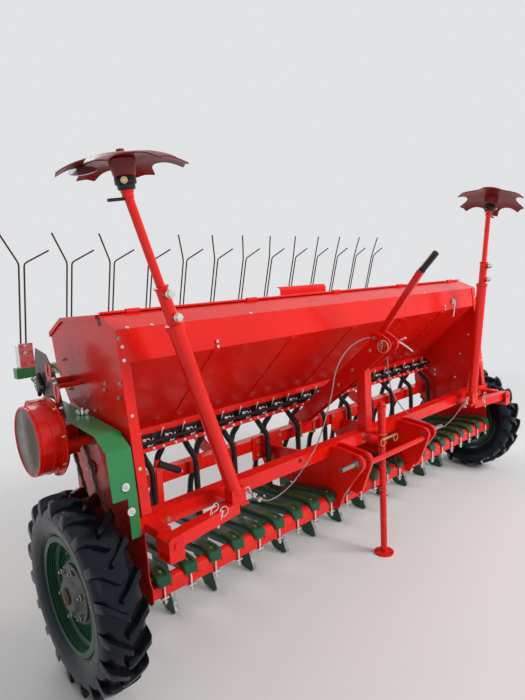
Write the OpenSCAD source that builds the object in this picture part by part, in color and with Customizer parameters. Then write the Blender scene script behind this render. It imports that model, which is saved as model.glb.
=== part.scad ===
// Mounted seed drill: a long hopper on a light frame, two lugged wheels, one row of
// metering housings, two ranks of shoe coulters, folding row markers and a folding tine harrow.
// Millimetres, +Z up, X across the machine, -Y towards the tractor; the origin is the middle
// of the parking stand's foot on the ground.

/* [Seed rows] */
// Distance between two seed rows
row_pitch = 117; // [100:1:130]
// Number of seed rows
row_count = 23; // [11:2:25]

/* [Frame] */
// Room outside the middle of the last coulter, to the outer face of a side plate
side_room = 48; // [46:1:60]
// Thickness of a side plate
side_t = 4; // [3:0.5:8]
// Width of the flange bent in along a side plate's front edge
side_flange = 36; // [20:1:60]
// Front edge of the side plates at the front beam
side_low_y = 76; // [68:1:82]
// Front edge of the side plates at their top
side_top_y = 158; // [148:1:168]
// Side of the square tube of the front beam
beam_size = 60; // [50:1:70]
// Wall of the square tubes
tube_wall = 4; // [3:0.5:6]
// Front face of the front beam
beam_front_y = 76; // [68:1:76]
// Middle height of the front beam
beam_z = 630; // [600:5:650]
// How far the front beam stands out past each side plate
beam_over = 25; // [10:1:40]
// Middle of the rear beam, behind the stand
rear_beam_y = 558; // [538:5:578]
// Middle height of the rear beam
rear_beam_z = 585; // [570:5:600]
// Side of the square bar that carries the coulters
bar_size = 45; // [35:1:50]
// Front face of the coulter bar
bar_front_y = 58; // [53:1:68]
// Middle height of the coulter bar
bar_z = 367; // [350:1:385]

/* [Hopper] */
// Distance between two of the flat ribs on the hopper's front
rib_pitch = 450; // [300:10:600]
// Thickness of the hopper sheet
sheet_t = 3; // [2:0.5:5]
// Lower edge of the upright front band
fold_z = 1205; // [1180:5:1230]
// Top edge of the upright front band
front_top_z = 1325; // [1300:5:1330]
// Ridge that carries the lid's hinge, behind the stand
ridge_y = 268; // [238:5:298]
// Height of the ridge
ridge_z = 1372; // [1350:1:1390]
// Rear edge of the lid's flat top, behind the stand
lid_back_y = 623; // [578:5:658]
// Height of that edge
lid_back_z = 1352; // [1340:1:1360]
// Outer face of the hopper's rear wall
hop_rear_y = 758; // [738:5:778]
// Height of the hopper's rear wall
rear_top_z = 1288; // [1270:1:1300]
// Lower edge of the upright rear band
rear_fold_z = 1140; // [1100:5:1160]
// Front of the hopper's throat
throat_front_y = 540; // [528:1:558]
// Rear of the hopper's throat
throat_rear_y = 620; // [608:1:638]
// Underside of the hopper's throat
throat_z = 800; // [790:1:820]
// Opening in the throat's floor above each metering housing
outlet_size = 46; // [30:1:50]

/* [Lid] */
// Thickness of the lid sheet
lid_t = 2.5; // [2:0.5:4]
// Depth of the lid's side skirts
lid_skirt = 16; // [10:1:20]
// Width of the lid handle
handle_w = 370; // [200:10:500]
// Height of the lid handle
handle_h = 56; // [40:1:70]
// Distance of the lid's handle in front of the lid's rear fold
handle_back = 119; // [60:1:200]
// Radius of the lid's hinge rod
lid_rod_r = 5; // [4:0.5:8]

/* [Wheels] */
// Distance from a side plate to the middle of its tyre
wheel_gap = 155; // [150:1:220]
// Axle line, behind the stand
axle_y = 288; // [273:5:303]
// Diameter over the lugs
tyre_dia = 735; // [720:5:745]
// Width of the tyre
tyre_w = 165; // [150:1:170]
// Diameter of the rim's bead seat
rim_dia = 406; // [400:1:420]
// Height of the rim's flange above the bead seat
rim_flange = 17; // [12:1:20]
// Width of the rim between its flanges
rim_w = 114; // [100:1:120]
// Height of a lug above the tread
lug_h = 26; // [18:1:30]
// Lugs on each side of a tyre
lug_count = 19; // [14:1:22]
// Width of a lug
lug_w = 25; // [18:1:30]
// Radius of the stub axles
axle_r = 20; // [16:0.5:24]
// Radial running clearance of the wheel hubs
axle_fit = 0.08; // [0.03:0.01:0.1]

/* [Hitch] */
// Shoulder to shoulder distance of the lower link pins
link_span = 683; // [660:1:720]
// Radius of the lower link pins
link_pin_r = 11; // [11:0.5:14]
// Free length of a lower link pin
link_pin_l = 95; // [60:1:105]
// Length of the shoulder on a lower link pin
link_boss_l = 23.5; // [20:0.5:26]
// Lower link pins, behind the stand
link_y = -86; // [-92:1:-82]
// Height of the lower link pins
link_z = 606; // [600:1:612]
// Thickness of the link plates
link_t = 12; // [8:1:16]
// Gap between the two plates of a lower link bracket
link_gap = 48; // [40:1:60]
// Top link pin, behind the stand
top_y = -44; // [-48:1:-40]
// Height of the top link pin
top_z = 1118; // [1110:1:1125]
// Gap between the tower's head plates
head_gap = 54; // [48:1:60]
// Thickness of the tower's plates
tower_t = 10; // [8:1:12]
// Radius of the top link pin
top_pin_r = 10; // [9:0.5:12]

/* [Stand] */
// Middle of the parking stand, front to back
stand_y = 0; // [-4:1:4]
// Outer radius of the stand's sleeve
sleeve_r = 21; // [20:0.5:24]
// Outer radius of the stand's leg
leg_r = 17; // [15:0.5:18]
// Radial clearance between leg and sleeve
leg_fit = 0.1; // [0.03:0.01:0.1]
// Radius of the foot
foot_r = 50; // [40:1:60]
// Thickness of the foot
foot_t = 8; // [6:1:12]

/* [Markers] */
// Distance of a marker's pivot inside the outer face of the side plate
pivot_inset = 29; // [27:1:45]
// Height of the marker pivots
marker_pivot_z = 603; // [598:1:606]
// Middle plane of the markers
marker_y = 0; // [-4:1:2]
// Lower end of the upright tube, from the middle of the machine
marker_base_x = 975; // [965:1:990]
// Height of that end
marker_base_z = 655; // [650:1:665]
// Lean of the left marker away from upright
lean_left = 17.8; // [8:0.1:20]
// Lean of the right marker away from upright
lean_right = 10.4; // [8:0.1:20]
// Side of the marker's square arm
arm_size = 48; // [44:1:50]
// Radius of the marker's lower tube
marker_r = 29; // [25:0.5:30]
// Length of the marker's lower tube
marker_l = 710; // [650:10:760]
// Radius of the telescopic tube
inner_r = 15; // [12:0.5:18]
// Length of the sleeve that clamps the telescopic tube
marker_sleeve_l = 140; // [100:5:180]
// Length of the telescopic tube outside its sleeve
inner_l = 305; // [250:5:350]
// Radius of the marker disc
disc_r = 205; // [180:5:230]
// Thickness of the marker disc
disc_t = 4; // [3:0.5:6]
// Notches around the marker disc
notch_count = 6; // [5:1:7]
// Radius of a notch
notch_r = 68; // [40:1:72]
// Outward lean of the left disc's pin from upright
tip_left = 6; // [0:0.5:12]
// Outward lean of the right disc's pin from upright
tip_right = 21.5; // [10:0.5:24]

/* [Harrow] */
// Hinge line of the harrow, behind the stand
harrow_y = 918; // [908:1:928]
// Height of the harrow's hinge line
harrow_z = 800; // [790:1:810]
// Harrow beam, folded up, behind the stand
tine_beam_y = 1108; // [1103:1:1113]
// Height of the harrow beam, folded up
tine_beam_z = 1078; // [1070:1:1085]
// Side of the harrow beam's square tube
tine_beam = 50; // [40:1:55]
// Length of the harrow beam outside its last tine
beam_end = 51; // [40:1:60]
// Number of double tines, an odd one
tine_count = 13; // [7:2:15]
// Distance between two double tines
tine_pitch = 224; // [200:1:226]
// Radius of the tine wire
tine_r = 4; // [3:0.5:5]
// Height of the tines' bends, folded up
tine_bend_z = 1594; // [1560:1:1620]
// Length of the bent tip of a double tine's right wire
tine_tip = 131; // [100:1:140]
// Forward lean of the tine wires over their height
tine_lean = 107; // [60:1:110]
// Brackets of the harrow from the middle of the machine
harrow_arm_x = 643; // [630:1:655]

/* [Coulters] */
// Boots of the front rank, behind the stand
boot_front_y = 488; // [478:5:498]
// Boots of the rear rank, behind the stand
boot_rear_y = 738; // [718:5:748]
// Height of the seed boots' mouths
boot_z = 330; // [320:1:340]
// Height of the shoe tips above the ground, on which they rest when parked
tip_z = 0; // [0:1:40]
// Width of a coulter arm over the bar
arm_w = 56; // [50:1:60]
// Thickness of the pressed coulter arms
press_t = 5; // [4:0.5:6]
// Outer radius of a seed tube
seed_tube_r = 16; // [12:0.5:18]

/* [Metering] */
// Width of a metering housing
meter_w = 86; // [80:1:87]
// Height of a metering housing
meter_h = 58; // [50:1:60]
// Height of the red rail below the housings
rail_h = 20; // [15:1:25]

/* [Drive] */
// Middle of the gearbox drum, behind the stand
drum_y = 523; // [518:1:528]
// Height of the gearbox drum's middle
drum_z = 902; // [898:1:906]
// Radius of the gearbox drum
drum_r = 138; // [130:1:140]
// Distance from the side plate to the outer face of the gearbox drum
drum_reach = 217; // [205:1:225]
// Width of the green drive guard
guard_w = 92; // [80:1:92]
// Thickness of the green drive guard
guard_t = 3; // [2:0.5:4]

/* [Hidden] */

body_half = row_pitch * (row_count - 1) / 2 + side_room;
wheel_x = body_half + wheel_gap;
marker_pivot_x = body_half - pivot_inset;
tine_beam_half = tine_pitch * (tine_count - 1) / 2 + beam_end;
drum_x = body_half + drum_reach;

red = "#c8201c";
green = "#1f6b38";
dark = "#1b1b1d";
steel = "#b9bcc0";
rubber = "#17181a";

first_row = -row_pitch * (row_count - 1) / 2;
inner_half = body_half - side_t;
beam_y = beam_front_y + beam_size / 2;
bar_y = bar_front_y + bar_size / 2;
seat_gap = 0.3;
meter_y = (throat_front_y + throat_rear_y) / 2;
tyre_r = tyre_dia / 2;
axle_z = tyre_r;
link_x = link_span / 2;

// A round bar from point p to point q
module rod(p, q, r) {
    v = q - p;
    l = norm(v);
    translate(p)
        rotate([0, acos(v[2] / l), atan2(v[1], v[0])])
            cylinder(h = l, r = r, $fn = 40);
}

// A plate in the YZ plane, its lower face at x
module yz_plate(x, t) {
    translate([x, 0, 0])
        rotate([90, 0, 90])
            linear_extrude(height = t)
                children();
}

// A plate in the XZ plane, its rear face at y
module xz_plate(y, t) {
    translate([0, y, 0])
        rotate([90, 0, 0])
            linear_extrude(height = t)
                children();
}

// A square tube along X with its wall
module x_tube(half, size, y, z) {
    difference() {
        translate([-half, y - size / 2, z - size / 2])
            cube([2 * half, size, size]);
        translate([-half + tube_wall, y - size / 2 + tube_wall, z - size / 2 + tube_wall])
            cube([2 * half - 2 * tube_wall, size - 2 * tube_wall, size - 2 * tube_wall]);
    }
}

// The other side of the machine
module mirrored(side) {
    if (side > 0)
        children();
    else
        mirror([1, 0, 0]) children();
}

function row_x(n) = first_row + row_pitch * n;

// The front edge of the side plates at a height
function front_y(z) = side_low_y + (z - beam_z) * (side_top_y - side_low_y) / (front_top_z - beam_z);

// A polyline moved sideways by d, to its left when d is above zero, with mitred corners
function unit(v) = v / norm(v);
function left(v) = [-v[1], v[0]];
function seg(p, i) = left(unit(p[i + 1] - p[i]));
function off(p, d) = [for (i = [0:len(p) - 1])
    let (a = seg(p, max(i - 1, 0)), b = seg(p, min(i, len(p) - 2)))
        p[i] + (a + b) * d / (1 + a * b)];
function back(p) = [for (i = [len(p) - 1:-1:0]) p[i]];
function strip(p, d) = concat(p, back(off(p, d)));

hinge_y = ridge_y + 4;
hinge_z = ridge_z + 8;
knuckle_r = lid_rod_r + 4;
knuckle_l = 60;
knuckle_gap = 6;
knuckles = [-1200, -600, 0, 600, 1200];

// Hopper sheet, from the ridge down the front, round the throat and up the back
hop_pts = [[ridge_y, ridge_z], [front_y(front_top_z) + side_t + seat_gap, front_top_z],
    [front_y(fold_z) + side_t + seat_gap, fold_z], [throat_front_y, throat_z + 30],
        [throat_front_y, throat_z],
    [throat_rear_y, throat_z], [throat_rear_y, throat_z + 200],
    [hop_rear_y - 26, rear_fold_z], [hop_rear_y, rear_top_z]];
// Roof line that the lid lies on
roof_pts = [[hinge_y + 18, ridge_z - 1], [lid_back_y, lid_back_z], [hop_rear_y, rear_top_z],
    [hop_rear_y - 3, rear_top_z - 18]];

// Outline of a side plate
side_pts = [[bar_front_y - 6, bar_z - 25], [bar_front_y - 6, bar_z + 25], [bar_front_y + 12, bar_z + 55],
    [side_low_y, beam_z], [side_top_y, front_top_z], [ridge_y, ridge_z], [lid_back_y, lid_back_z],
    [hop_rear_y, rear_top_z], [hop_rear_y - 28, rear_fold_z], [throat_rear_y + 8, throat_z + 200],
    [throat_rear_y + 6, rear_beam_z + 55], [rear_beam_y + 48, rear_beam_z - 40],
    [axle_y + 85, axle_z - 35], [axle_y, axle_z - 66], [bar_y + 40, bar_z - 45],
    [bar_y - 12, bar_z - 45]];

module front_beam() {
    color(red) x_tube(body_half + beam_over, beam_size, beam_y, beam_z);
}

module rear_beam() {
    color(red) {
        x_tube(inner_half, beam_size, rear_beam_y, rear_beam_z);
        difference() {
            translate([-430, rear_beam_y - beam_size / 2 - 8, rear_beam_z - 80])
                cube([210, 8, 125]);
            translate([-plate_a_x - link_t - 3, rear_beam_y - beam_size / 2 - 9, rear_beam_z - 81])
                cube([link_t + 6, 10, 75]);
        }
    }
}

module side_plate() {
    difference() {
        yz_plate(inner_half, side_t) polygon(side_pts);
        translate([inner_half - 1, beam_front_y, beam_z - beam_size / 2])
            cube([side_t + 2, beam_size, beam_size]);
        translate([inner_half - 1, axle_y, axle_z])
            rotate([0, 90, 0]) cylinder(h = side_t + 2, r = axle_r, $fn = 48);
    }
    yz_plate(inner_half - side_flange, side_flange)
        polygon(strip([[front_y(beam_z + beam_size / 2 + 4), beam_z + beam_size / 2 + 4],
            [side_top_y, front_top_z]], -side_t));
}

module side_plate_left() {
    color(red) mirrored(-1) side_plate();
}

module side_plate_right() {
    color(red) mirrored(1) side_plate();
}

// Square bar with a rounded saddle between two arms, except where a link plate hooks on
module coulter_bar() {
    color(red) {
        x_tube(inner_half, bar_size, bar_y, bar_z);
        for (n = [0:row_count - 2])
            let (x = row_x(n) + row_pitch / 2)
                if (abs(abs(x) - plate_a_x - link_t / 2) > row_pitch / 2)
                    translate([x - (row_pitch - arm_w) / 2 + 3, bar_y - 6, bar_z + bar_size / 2 + 1])
                        rotate([0, 90, 0])
                            cylinder(h = row_pitch - arm_w - 6, r = 25, $fn = 40);
    }
}

plate_a_x = link_x - link_boss_l - link_t;
plate_b_x = plate_a_x - link_gap - link_t;
hook_z = bar_z + bar_size / 2;
nose_r = 36;
beam_low = beam_z - beam_size / 2;

// Long link plate: nose, front beam, rear beam and a hook over the coulter bar
plate_a_pts = [[link_y - 30, link_z - 20], [link_y + 5, link_z + nose_r], [beam_front_y - 38, beam_z + 25],
    [beam_front_y, beam_z + 25], [beam_front_y, beam_low], [beam_front_y + beam_size, beam_low],
    [rear_beam_y - beam_size / 2, rear_beam_z - beam_size / 2 + 10],
    [rear_beam_y - beam_size / 2, rear_beam_z - beam_size / 2],
    [rear_beam_y + beam_size / 2, rear_beam_z - beam_size / 2],
    [rear_beam_y + beam_size / 2, rear_beam_z - 85], [rear_beam_y - 14, rear_beam_z - 166],
    [bar_y + 280, hook_z + 12], [bar_front_y + bar_size, hook_z], [bar_front_y, hook_z],
    [bar_front_y, bar_z - 20], [bar_front_y - 22, bar_z - 20], [bar_front_y - 38, bar_z + 8],
    [bar_front_y - 60, bar_z + 66]];
// Short link plate: nose and front beam only
plate_b_pts = [[link_y - 34, link_z - 12], [link_y + 8, link_z + nose_r], [beam_front_y - 38, beam_z + 25],
    [beam_front_y, beam_z + 25], [beam_front_y, beam_low - 30], [beam_front_y - 20, beam_low - 110],
    [beam_front_y - 56, beam_low - 172], [link_y + 50, link_z - 184], [link_y + 26, link_z - 160]];

module link_plate(x, pts) {
    difference() {
        union() {
            yz_plate(x, link_t) polygon(pts);
            translate([x, link_y, link_z])
                rotate([0, 90, 0]) cylinder(h = link_t, r = nose_r, $fn = 64);
        }
        translate([x - 1, link_y, link_z])
            rotate([0, 90, 0]) cylinder(h = link_t + 2, r = link_pin_r, $fn = 48);
    }
}

module link_brackets() {
    color(red)
        for (side = [-1, 1])
            mirrored(side) {
                link_plate(plate_a_x, plate_a_pts);
                link_plate(plate_b_x, plate_b_pts);
            }
}

module link_pins() {
    color(steel)
        for (side = [-1, 1])
            mirrored(side)
                difference() {
                    union() {
                        translate([plate_b_x, link_y, link_z])
                            rotate([0, 90, 0])
                                cylinder(h = link_x + link_pin_l - plate_b_x, r = link_pin_r, $fn = 48);
                        translate([plate_a_x + link_t, link_y, link_z])
                            rotate([0, 90, 0]) cylinder(h = link_boss_l, r = 19, $fn = 48);
                    }
                    translate([link_x + link_pin_l - 14, link_y, link_z - 20])
                        cylinder(h = 40, r = 5, $fn = 24);
                }
}

module link_tie() {
    color(red) rod([-plate_b_x, link_y - 6, link_z - 20], [plate_b_x, link_y - 6, link_z - 20], 13);
}

head_x = head_gap / 2;
post_top = beam_z + beam_size / 2 + 390;
lever_y = top_y + 52;
lever_z = top_z + 32;
foot_plate_z = rear_beam_z + beam_size / 2;
brace_pts = [[top_y - 20, top_z - 34], [top_y - 10, top_z + 38], [lever_y - 20, lever_z + 28],
    [lever_y + 20, lever_z + 28], [lever_y + 30, lever_z - 20], [rear_beam_y + 40, foot_plate_z + 36],
    [rear_beam_y + 40, foot_plate_z + 8], [rear_beam_y - 40, foot_plate_z + 8]];

module brace_plate(x) {
    difference() {
        union() {
            yz_plate(x, tower_t) polygon(brace_pts);
            translate([x, top_y, top_z])
                rotate([0, 90, 0]) cylinder(h = tower_t, r = 38, $fn = 64);
        }
        translate([x - 1, top_y, top_z])
            rotate([0, 90, 0]) cylinder(h = tower_t + 2, r = top_pin_r, $fn = 48);
    }
}

module tower() {
    color(red) {
        translate([-head_x, beam_y - 27, beam_z + beam_size / 2])
            cube([head_gap, 54, post_top - beam_z - beam_size / 2]);
        brace_plate(head_x);
        brace_plate(-head_x - tower_t);
        difference() {
            translate([-70, rear_beam_y - 46, foot_plate_z]) cube([140, 92, 8]);
            for (side = [-1, 1], y = [-1, 1])
                translate([side * 56, rear_beam_y + y * (beam_size / 2 + 6), foot_plate_z - 1])
                    cylinder(h = 10, r = 5.5, $fn = 24);
        }
    }
}

module top_link_pin() {
    color(steel) {
        difference() {
            rod([-head_x - tower_t - 24, top_y, top_z], [head_x + tower_t + 34, top_y, top_z], top_pin_r);
            translate([-head_x - tower_t - 14, top_y, top_z - 20]) cylinder(h = 40, r = 3.5, $fn = 24);
        }
        rod([head_x + tower_t + 26, top_y, top_z], [head_x + tower_t + 34, top_y, top_z], 17);
        rod([head_x + tower_t + 30, top_y, top_z], [head_x + tower_t + 30, top_y - 60, top_z + 26], 5);
    }
}

module marker_lever() {
    color(red) {
        rod([-head_x, lever_y, lever_z], [head_x, lever_y, lever_z], 22);
        rod([0, lever_y, lever_z], [12, lever_y - 235, lever_z + 322], 9);
        for (side = [-1, 1])
            rod([side * (head_x + tower_t), lever_y, lever_z],
                [side * (head_x + tower_t + 8), lever_y, lever_z], 10);
    }
    color(dark)
        rod([12, lever_y - 235, lever_z + 322], [15, lever_y - 303, lever_z + 396], 14);
}

sleeve_low = beam_z - 30;
sleeve_top = sleeve_low + 200;

module stand_sleeve() {
    color(red)
        difference() {
            union() {
                translate([0, stand_y, sleeve_low]) cylinder(h = 200, r = sleeve_r, $fn = 64);
                translate([-30, stand_y, beam_low + 4])
                    cube([60, beam_front_y - stand_y, 8]);
                translate([-30, stand_y, beam_z + beam_size / 2 - 12])
                    cube([60, beam_front_y - stand_y, 8]);
            }
            translate([0, stand_y, sleeve_low - 1])
                cylinder(h = 202, r = leg_r + leg_fit, $fn = 64);
        }
}

module stand_leg() {
    color(red)
        difference() {
            union() {
                translate([0, stand_y, 0]) cylinder(h = sleeve_top + 12, r = leg_r, $fn = 64);
                translate([0, stand_y, 0]) cylinder(h = foot_t, r = foot_r, $fn = 64);
            }
            for (z = [300:40:580])
                translate([-leg_r - 1, stand_y, z])
                    rotate([0, 90, 0]) cylinder(h = 2 * leg_r + 2, r = 5, $fn = 24);
        }
}

module hopper() {
    color(red) {
        difference() {
            yz_plate(-inner_half, 2 * inner_half) polygon(strip(hop_pts, sheet_t));
            for (n = [0:row_count - 1])
                translate([row_x(n) - outlet_size / 2, meter_y - outlet_size / 2, throat_z - 1])
                    cube([outlet_size, outlet_size, sheet_t + 2]);
        }
        difference() {
            for (x = knuckles)
                translate([x - knuckle_l / 2, hinge_y, hinge_z])
                    rotate([0, 90, 0]) cylinder(h = knuckle_l, r = knuckle_r, $fn = 40);
            translate([-inner_half, hinge_y, hinge_z])
                rotate([0, 90, 0])
                    cylinder(h = 2 * inner_half, r = lid_rod_r + 0.1, $fn = 40);
        }
    }
}

// Flat ribs bolted to the sloping front of the hopper and the end trims of its front band
module hopper_ribs() {
    slope = unit(hop_pts[3] - hop_pts[2]);
    color(red)
        for (n = [-2 : 2])
            yz_plate(n * rib_pitch - 20, 40)
                polygon(strip([hop_pts[2] + slope * 12, hop_pts[3] - slope * 12], -4));
}

module metering_housings() {
    color(dark)
        for (n = [0:row_count - 1])
            translate([row_x(n), 0, 0]) {
                translate([-meter_w / 2, throat_front_y - 14, throat_z - meter_h])
                    cube([meter_w, throat_rear_y - throat_front_y + 22, meter_h]);
                translate([0, throat_front_y - 14, throat_z - meter_h / 2])
                    rotate([90, 0, 0]) cylinder(h = 7, r = 21, $fn = 40);
                translate([meter_w / 2 - 20, throat_front_y - 24, throat_z - 26])
                    cube([10, 12, 20]);
            }
}

module metering_shaft() {
    color(steel)
        rod([-inner_half, throat_front_y - 34, throat_z - meter_h / 2],
            [inner_half, throat_front_y - 34, throat_z - meter_h / 2], 8);
}

module metering_rail() {
    z = throat_z - meter_h;
    color(red)
        difference() {
            union() {
                translate([-inner_half, throat_front_y - 17, z - rail_h])
                    cube([2 * inner_half, 3, rail_h]);
                translate([-inner_half, throat_front_y - 17, z - 3])
                    cube([2 * inner_half, throat_rear_y - throat_front_y + 25, 3]);
            }
            for (n = [0:row_count - 1])
                translate([row_x(n), meter_y, z - 4]) cylinder(h = 6, r = seed_tube_r + 5, $fn = 32);
        }
}

boot_top = boot_z + 15;
boot_r = seed_tube_r + 7;

module seed_tubes() {
    z = throat_z - meter_h;
    color(dark)
        for (n = [0:row_count - 1])
            let (x = row_x(n), front = n % 2 == 0,
                 knee = front ? [x, rear_beam_y - 62, rear_beam_z + 62]
                              : [x, rear_beam_y + 76, rear_beam_z + 62],
                 foot = [x, front ? boot_front_y : boot_rear_y, boot_top + seed_tube_r + 2]) {
                translate([x, meter_y, z - 24]) cylinder(h = 24, r = seed_tube_r + 5, $fn = 32);
                rod([x, meter_y, z - 22], knee, seed_tube_r);
                translate(knee) sphere(r = seed_tube_r + 1, $fn = 20);
                rod(knee, foot, seed_tube_r);
                translate(foot) sphere(r = seed_tube_r + 1, $fn = 20);
                translate([foot[0], foot[1], boot_top]) cylinder(h = seed_tube_r + 2,
                    r = seed_tube_r, $fn = 40);
            }
}

// Outline of a pressed coulter arm that reaches its boot at y
function arm_pts(y) = [[bar_front_y - 12, hook_z], [bar_front_y - 12, hook_z + 26],
    [bar_front_y - 2, hook_z + 38], [bar_y + 40, hook_z + 46], [y - 170, hook_z + 16],
    [y - boot_r - seat_gap, boot_z + 8], [y - boot_r - seat_gap, boot_z - 40], [y - 150,
        hook_z - 34], [bar_y + 70, hook_z - 6],
    [bar_front_y + bar_size + 12, hook_z]];
function arm_cut(y) = [[bar_front_y + bar_size + 10, hook_z + 45 - press_t],
    [y - 170, hook_z + 16 - press_t], [y - 30, boot_z + 4 - press_t], [y - 10, boot_z - 60],
    [y - 150, hook_z - 60], [bar_front_y + bar_size + 10, hook_z - 60]];

module coulter_arm(x, y) {
    difference() {
        yz_plate(x - arm_w / 2, arm_w) polygon(arm_pts(y));
        yz_plate(x - arm_w / 2 + press_t, arm_w - 2 * press_t) polygon(arm_cut(y));
    }
}

module short_arms() {
    color(green)
        for (n = [0:2:row_count - 1]) coulter_arm(row_x(n), boot_front_y);
}

module long_arms() {
    color(green)
        for (n = [1:2:row_count - 1]) coulter_arm(row_x(n), boot_rear_y);
}

// A strap under the bar with its two bolts, one below each arm
module arm_clamps() {
    low = bar_z - bar_size / 2;
    color(steel)
        for (n = [0:row_count - 1])
            translate([row_x(n), 0, 0]) {
                translate([-15, bar_front_y - 12, low - 6]) cube([30, bar_size + 24, 6]);
                for (y = [bar_front_y - 6, bar_front_y + bar_size + 6])
                    translate([0, y, low - 14]) cylinder(h = hook_z - low + 14, r = 4.5, $fn = 24);
            }
}

// The bolts that hold the tower's foot and the front plate to the rear beam
module u_bolts() {
    low = rear_beam_z - beam_size / 2;
    color(steel)
        for (side = [-1, 1], y = [-1, 1])
            translate([side * 56, rear_beam_y + y * (beam_size / 2 + 6), low - 10])
                cylinder(h = beam_size + 34, r = 5, $fn = 24);
    color(steel)
        for (side = [-1, 1])
            translate([side * 56 - 9, rear_beam_y - 42, low - 8]) cube([18, 84, 8]);
}

shoe_pts = [[-26, boot_z - 30], [26, boot_z - 30], [30, 210], [16, tip_z + 50], [-20, tip_z + 8],
    [-96, tip_z], [-112, tip_z + 14], [-82, 90], [-46, 190]];
shoe_cut = [[-10, boot_z - 20], [34, boot_z - 20], [40, 210], [26, tip_z + 44], [-10, tip_z + 40],
    [-14, 190]];

module coulter(x, y) {
    difference() {
        union() {
            translate([0, y, 0]) yz_plate(x - 13, 26) polygon(shoe_pts);
            translate([x, y, boot_z - 40]) cylinder(h = 55, r = boot_r, $fn = 40);
        }
        translate([0, y, 0]) yz_plate(x - 8, 16) polygon(shoe_cut);
        translate([x, y, boot_z - 25]) cylinder(h = 60, r = seed_tube_r - 3, $fn = 40);
    }
}

module coulters() {
    color(green)
        for (n = [0:row_count - 1])
            coulter(row_x(n), n % 2 == 0 ? boot_front_y : boot_rear_y);
}

hub_half = 60;
hub_in = body_half + 16;
hub_out = wheel_x + hub_half;

module axles() {
    color(red)
        for (side = [-1, 1])
            mirrored(side) {
                difference() {
                    yz_plate(body_half, 8)
                        polygon([[axle_y - 62, axle_z - 40], [axle_y - 62, axle_z + 60],
                            [axle_y - 20, axle_z + 150], [axle_y + 70, axle_z + 150],
                            [axle_y + 66, axle_z - 10], [axle_y + 30, axle_z - 52], [axle_y - 30,
                                axle_z - 56]]);
                    translate([body_half - 1, axle_y, axle_z])
                        rotate([0, 90, 0]) cylinder(h = 10, r = axle_r, $fn = 48);
                }
                translate([inner_half, axle_y, axle_z])
                    rotate([0, 90, 0])
                        cylinder(h = hub_out + seat_gap + 9 - inner_half, r = axle_r, $fn = 64);
                translate([body_half + 8, axle_y, axle_z])
                    rotate([0, 90, 0])
                        cylinder(h = hub_in - seat_gap - body_half - 8, r = 31, $fn = 64);
                translate([hub_out + seat_gap, axle_y, axle_z])
                    rotate([0, 90, 0]) cylinder(h = 6, r = 30, $fn = 64);
            }
}

tread_r = tyre_r - lug_h;
bead_r = rim_dia / 2;
rim_half = rim_w / 2;
wall_half = tyre_w / 2;
tyre_pts = [[bead_r, -rim_half], [bead_r + rim_flange + 1, -rim_half], [bead_r + 27, -rim_half - 12],
    [bead_r + 52, -wall_half + 4], [bead_r + 84, -wall_half], [tread_r - 24, -wall_half + 3],
    [tread_r - 8, -wall_half + 16], [tread_r, -wall_half + 42], [tread_r, wall_half - 42],
    [tread_r - 8, wall_half - 16], [tread_r - 24, wall_half - 3], [bead_r + 84, wall_half],
    [bead_r + 52, wall_half - 4], [bead_r + 27, rim_half + 12], [bead_r + rim_flange + 1, rim_half],
    [bead_r, rim_half]];
// Stations of a lug: [across from the middle, angle ahead, outer radius, inner radius, half width]
lug_table = [[-7, -6.2, tyre_r, tread_r - 6, lug_w * 0.42], [28, -1.6, tyre_r, tread_r - 6, lug_w * 0.48],
    [wall_half - 12, 3.6, tyre_r - 4, tread_r - 16, lug_w * 0.56],
    [wall_half - 1, 5.0, tread_r - 22, tread_r - 42, lug_w * 0.6]];
function lug_ring(s, w) = [for (c = [[s[3], -1.25], [s[2], -1], [s[2], 1], [s[3], 1.25]])
    let (a = s[1] + c[1] * s[4] / c[0] * 57.3) [s[0], c[0] * sin(a), c[0] * cos(a)]];
lug_points = [for (s = lug_table) each lug_ring(s, 0)];
lug_faces = concat([[3, 2, 1, 0]],
    [for (k = [0:len(lug_table) - 2], j = [0:3])
        [4 * k + j, 4 * k + (j + 1) % 4, 4 * k + 4 + (j + 1) % 4, 4 * k + 4 + j]],
    [[for (j = [0:3]) 4 * (len(lug_table) - 1) + j]]);

module tyre() {
    translate([wheel_x, axle_y, axle_z]) {
        rotate([0, 90, 0])
            rotate_extrude($fn = 96) polygon(tyre_pts);
        for (i = [0:lug_count - 1], half = [0, 1])
            rotate([(i + half / 2) * 360 / lug_count, 0, 0])
                mirror([half, 0, 0])
                    polyhedron(points = lug_points, faces = lug_faces);
    }
}

module tyre_left() {
    color(rubber) mirrored(-1) tyre();
}

module tyre_right() {
    color(rubber) mirrored(1) tyre();
}

rim_pts = [[bead_r - 4, -rim_half - 4], [bead_r + rim_flange, -rim_half - 4], [bead_r + rim_flange,
    -rim_half],
    [bead_r, -rim_half], [bead_r, -24], [bead_r - 14, -15], [bead_r - 14, 15], [bead_r, 24],
    [bead_r, rim_half], [bead_r + rim_flange, rim_half], [bead_r + rim_flange, rim_half + 4],
    [bead_r - 4, rim_half + 4], [bead_r - 4, 27], [bead_r - 18, 17], [bead_r - 18, -17], [bead_r - 4, -27]];
dish_pts = [[40, 22], [112, 22], [142, 2], [bead_r - 14, 2], [bead_r - 14, 8], [145, 8], [115, 28],
    [40, 28]];

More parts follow.
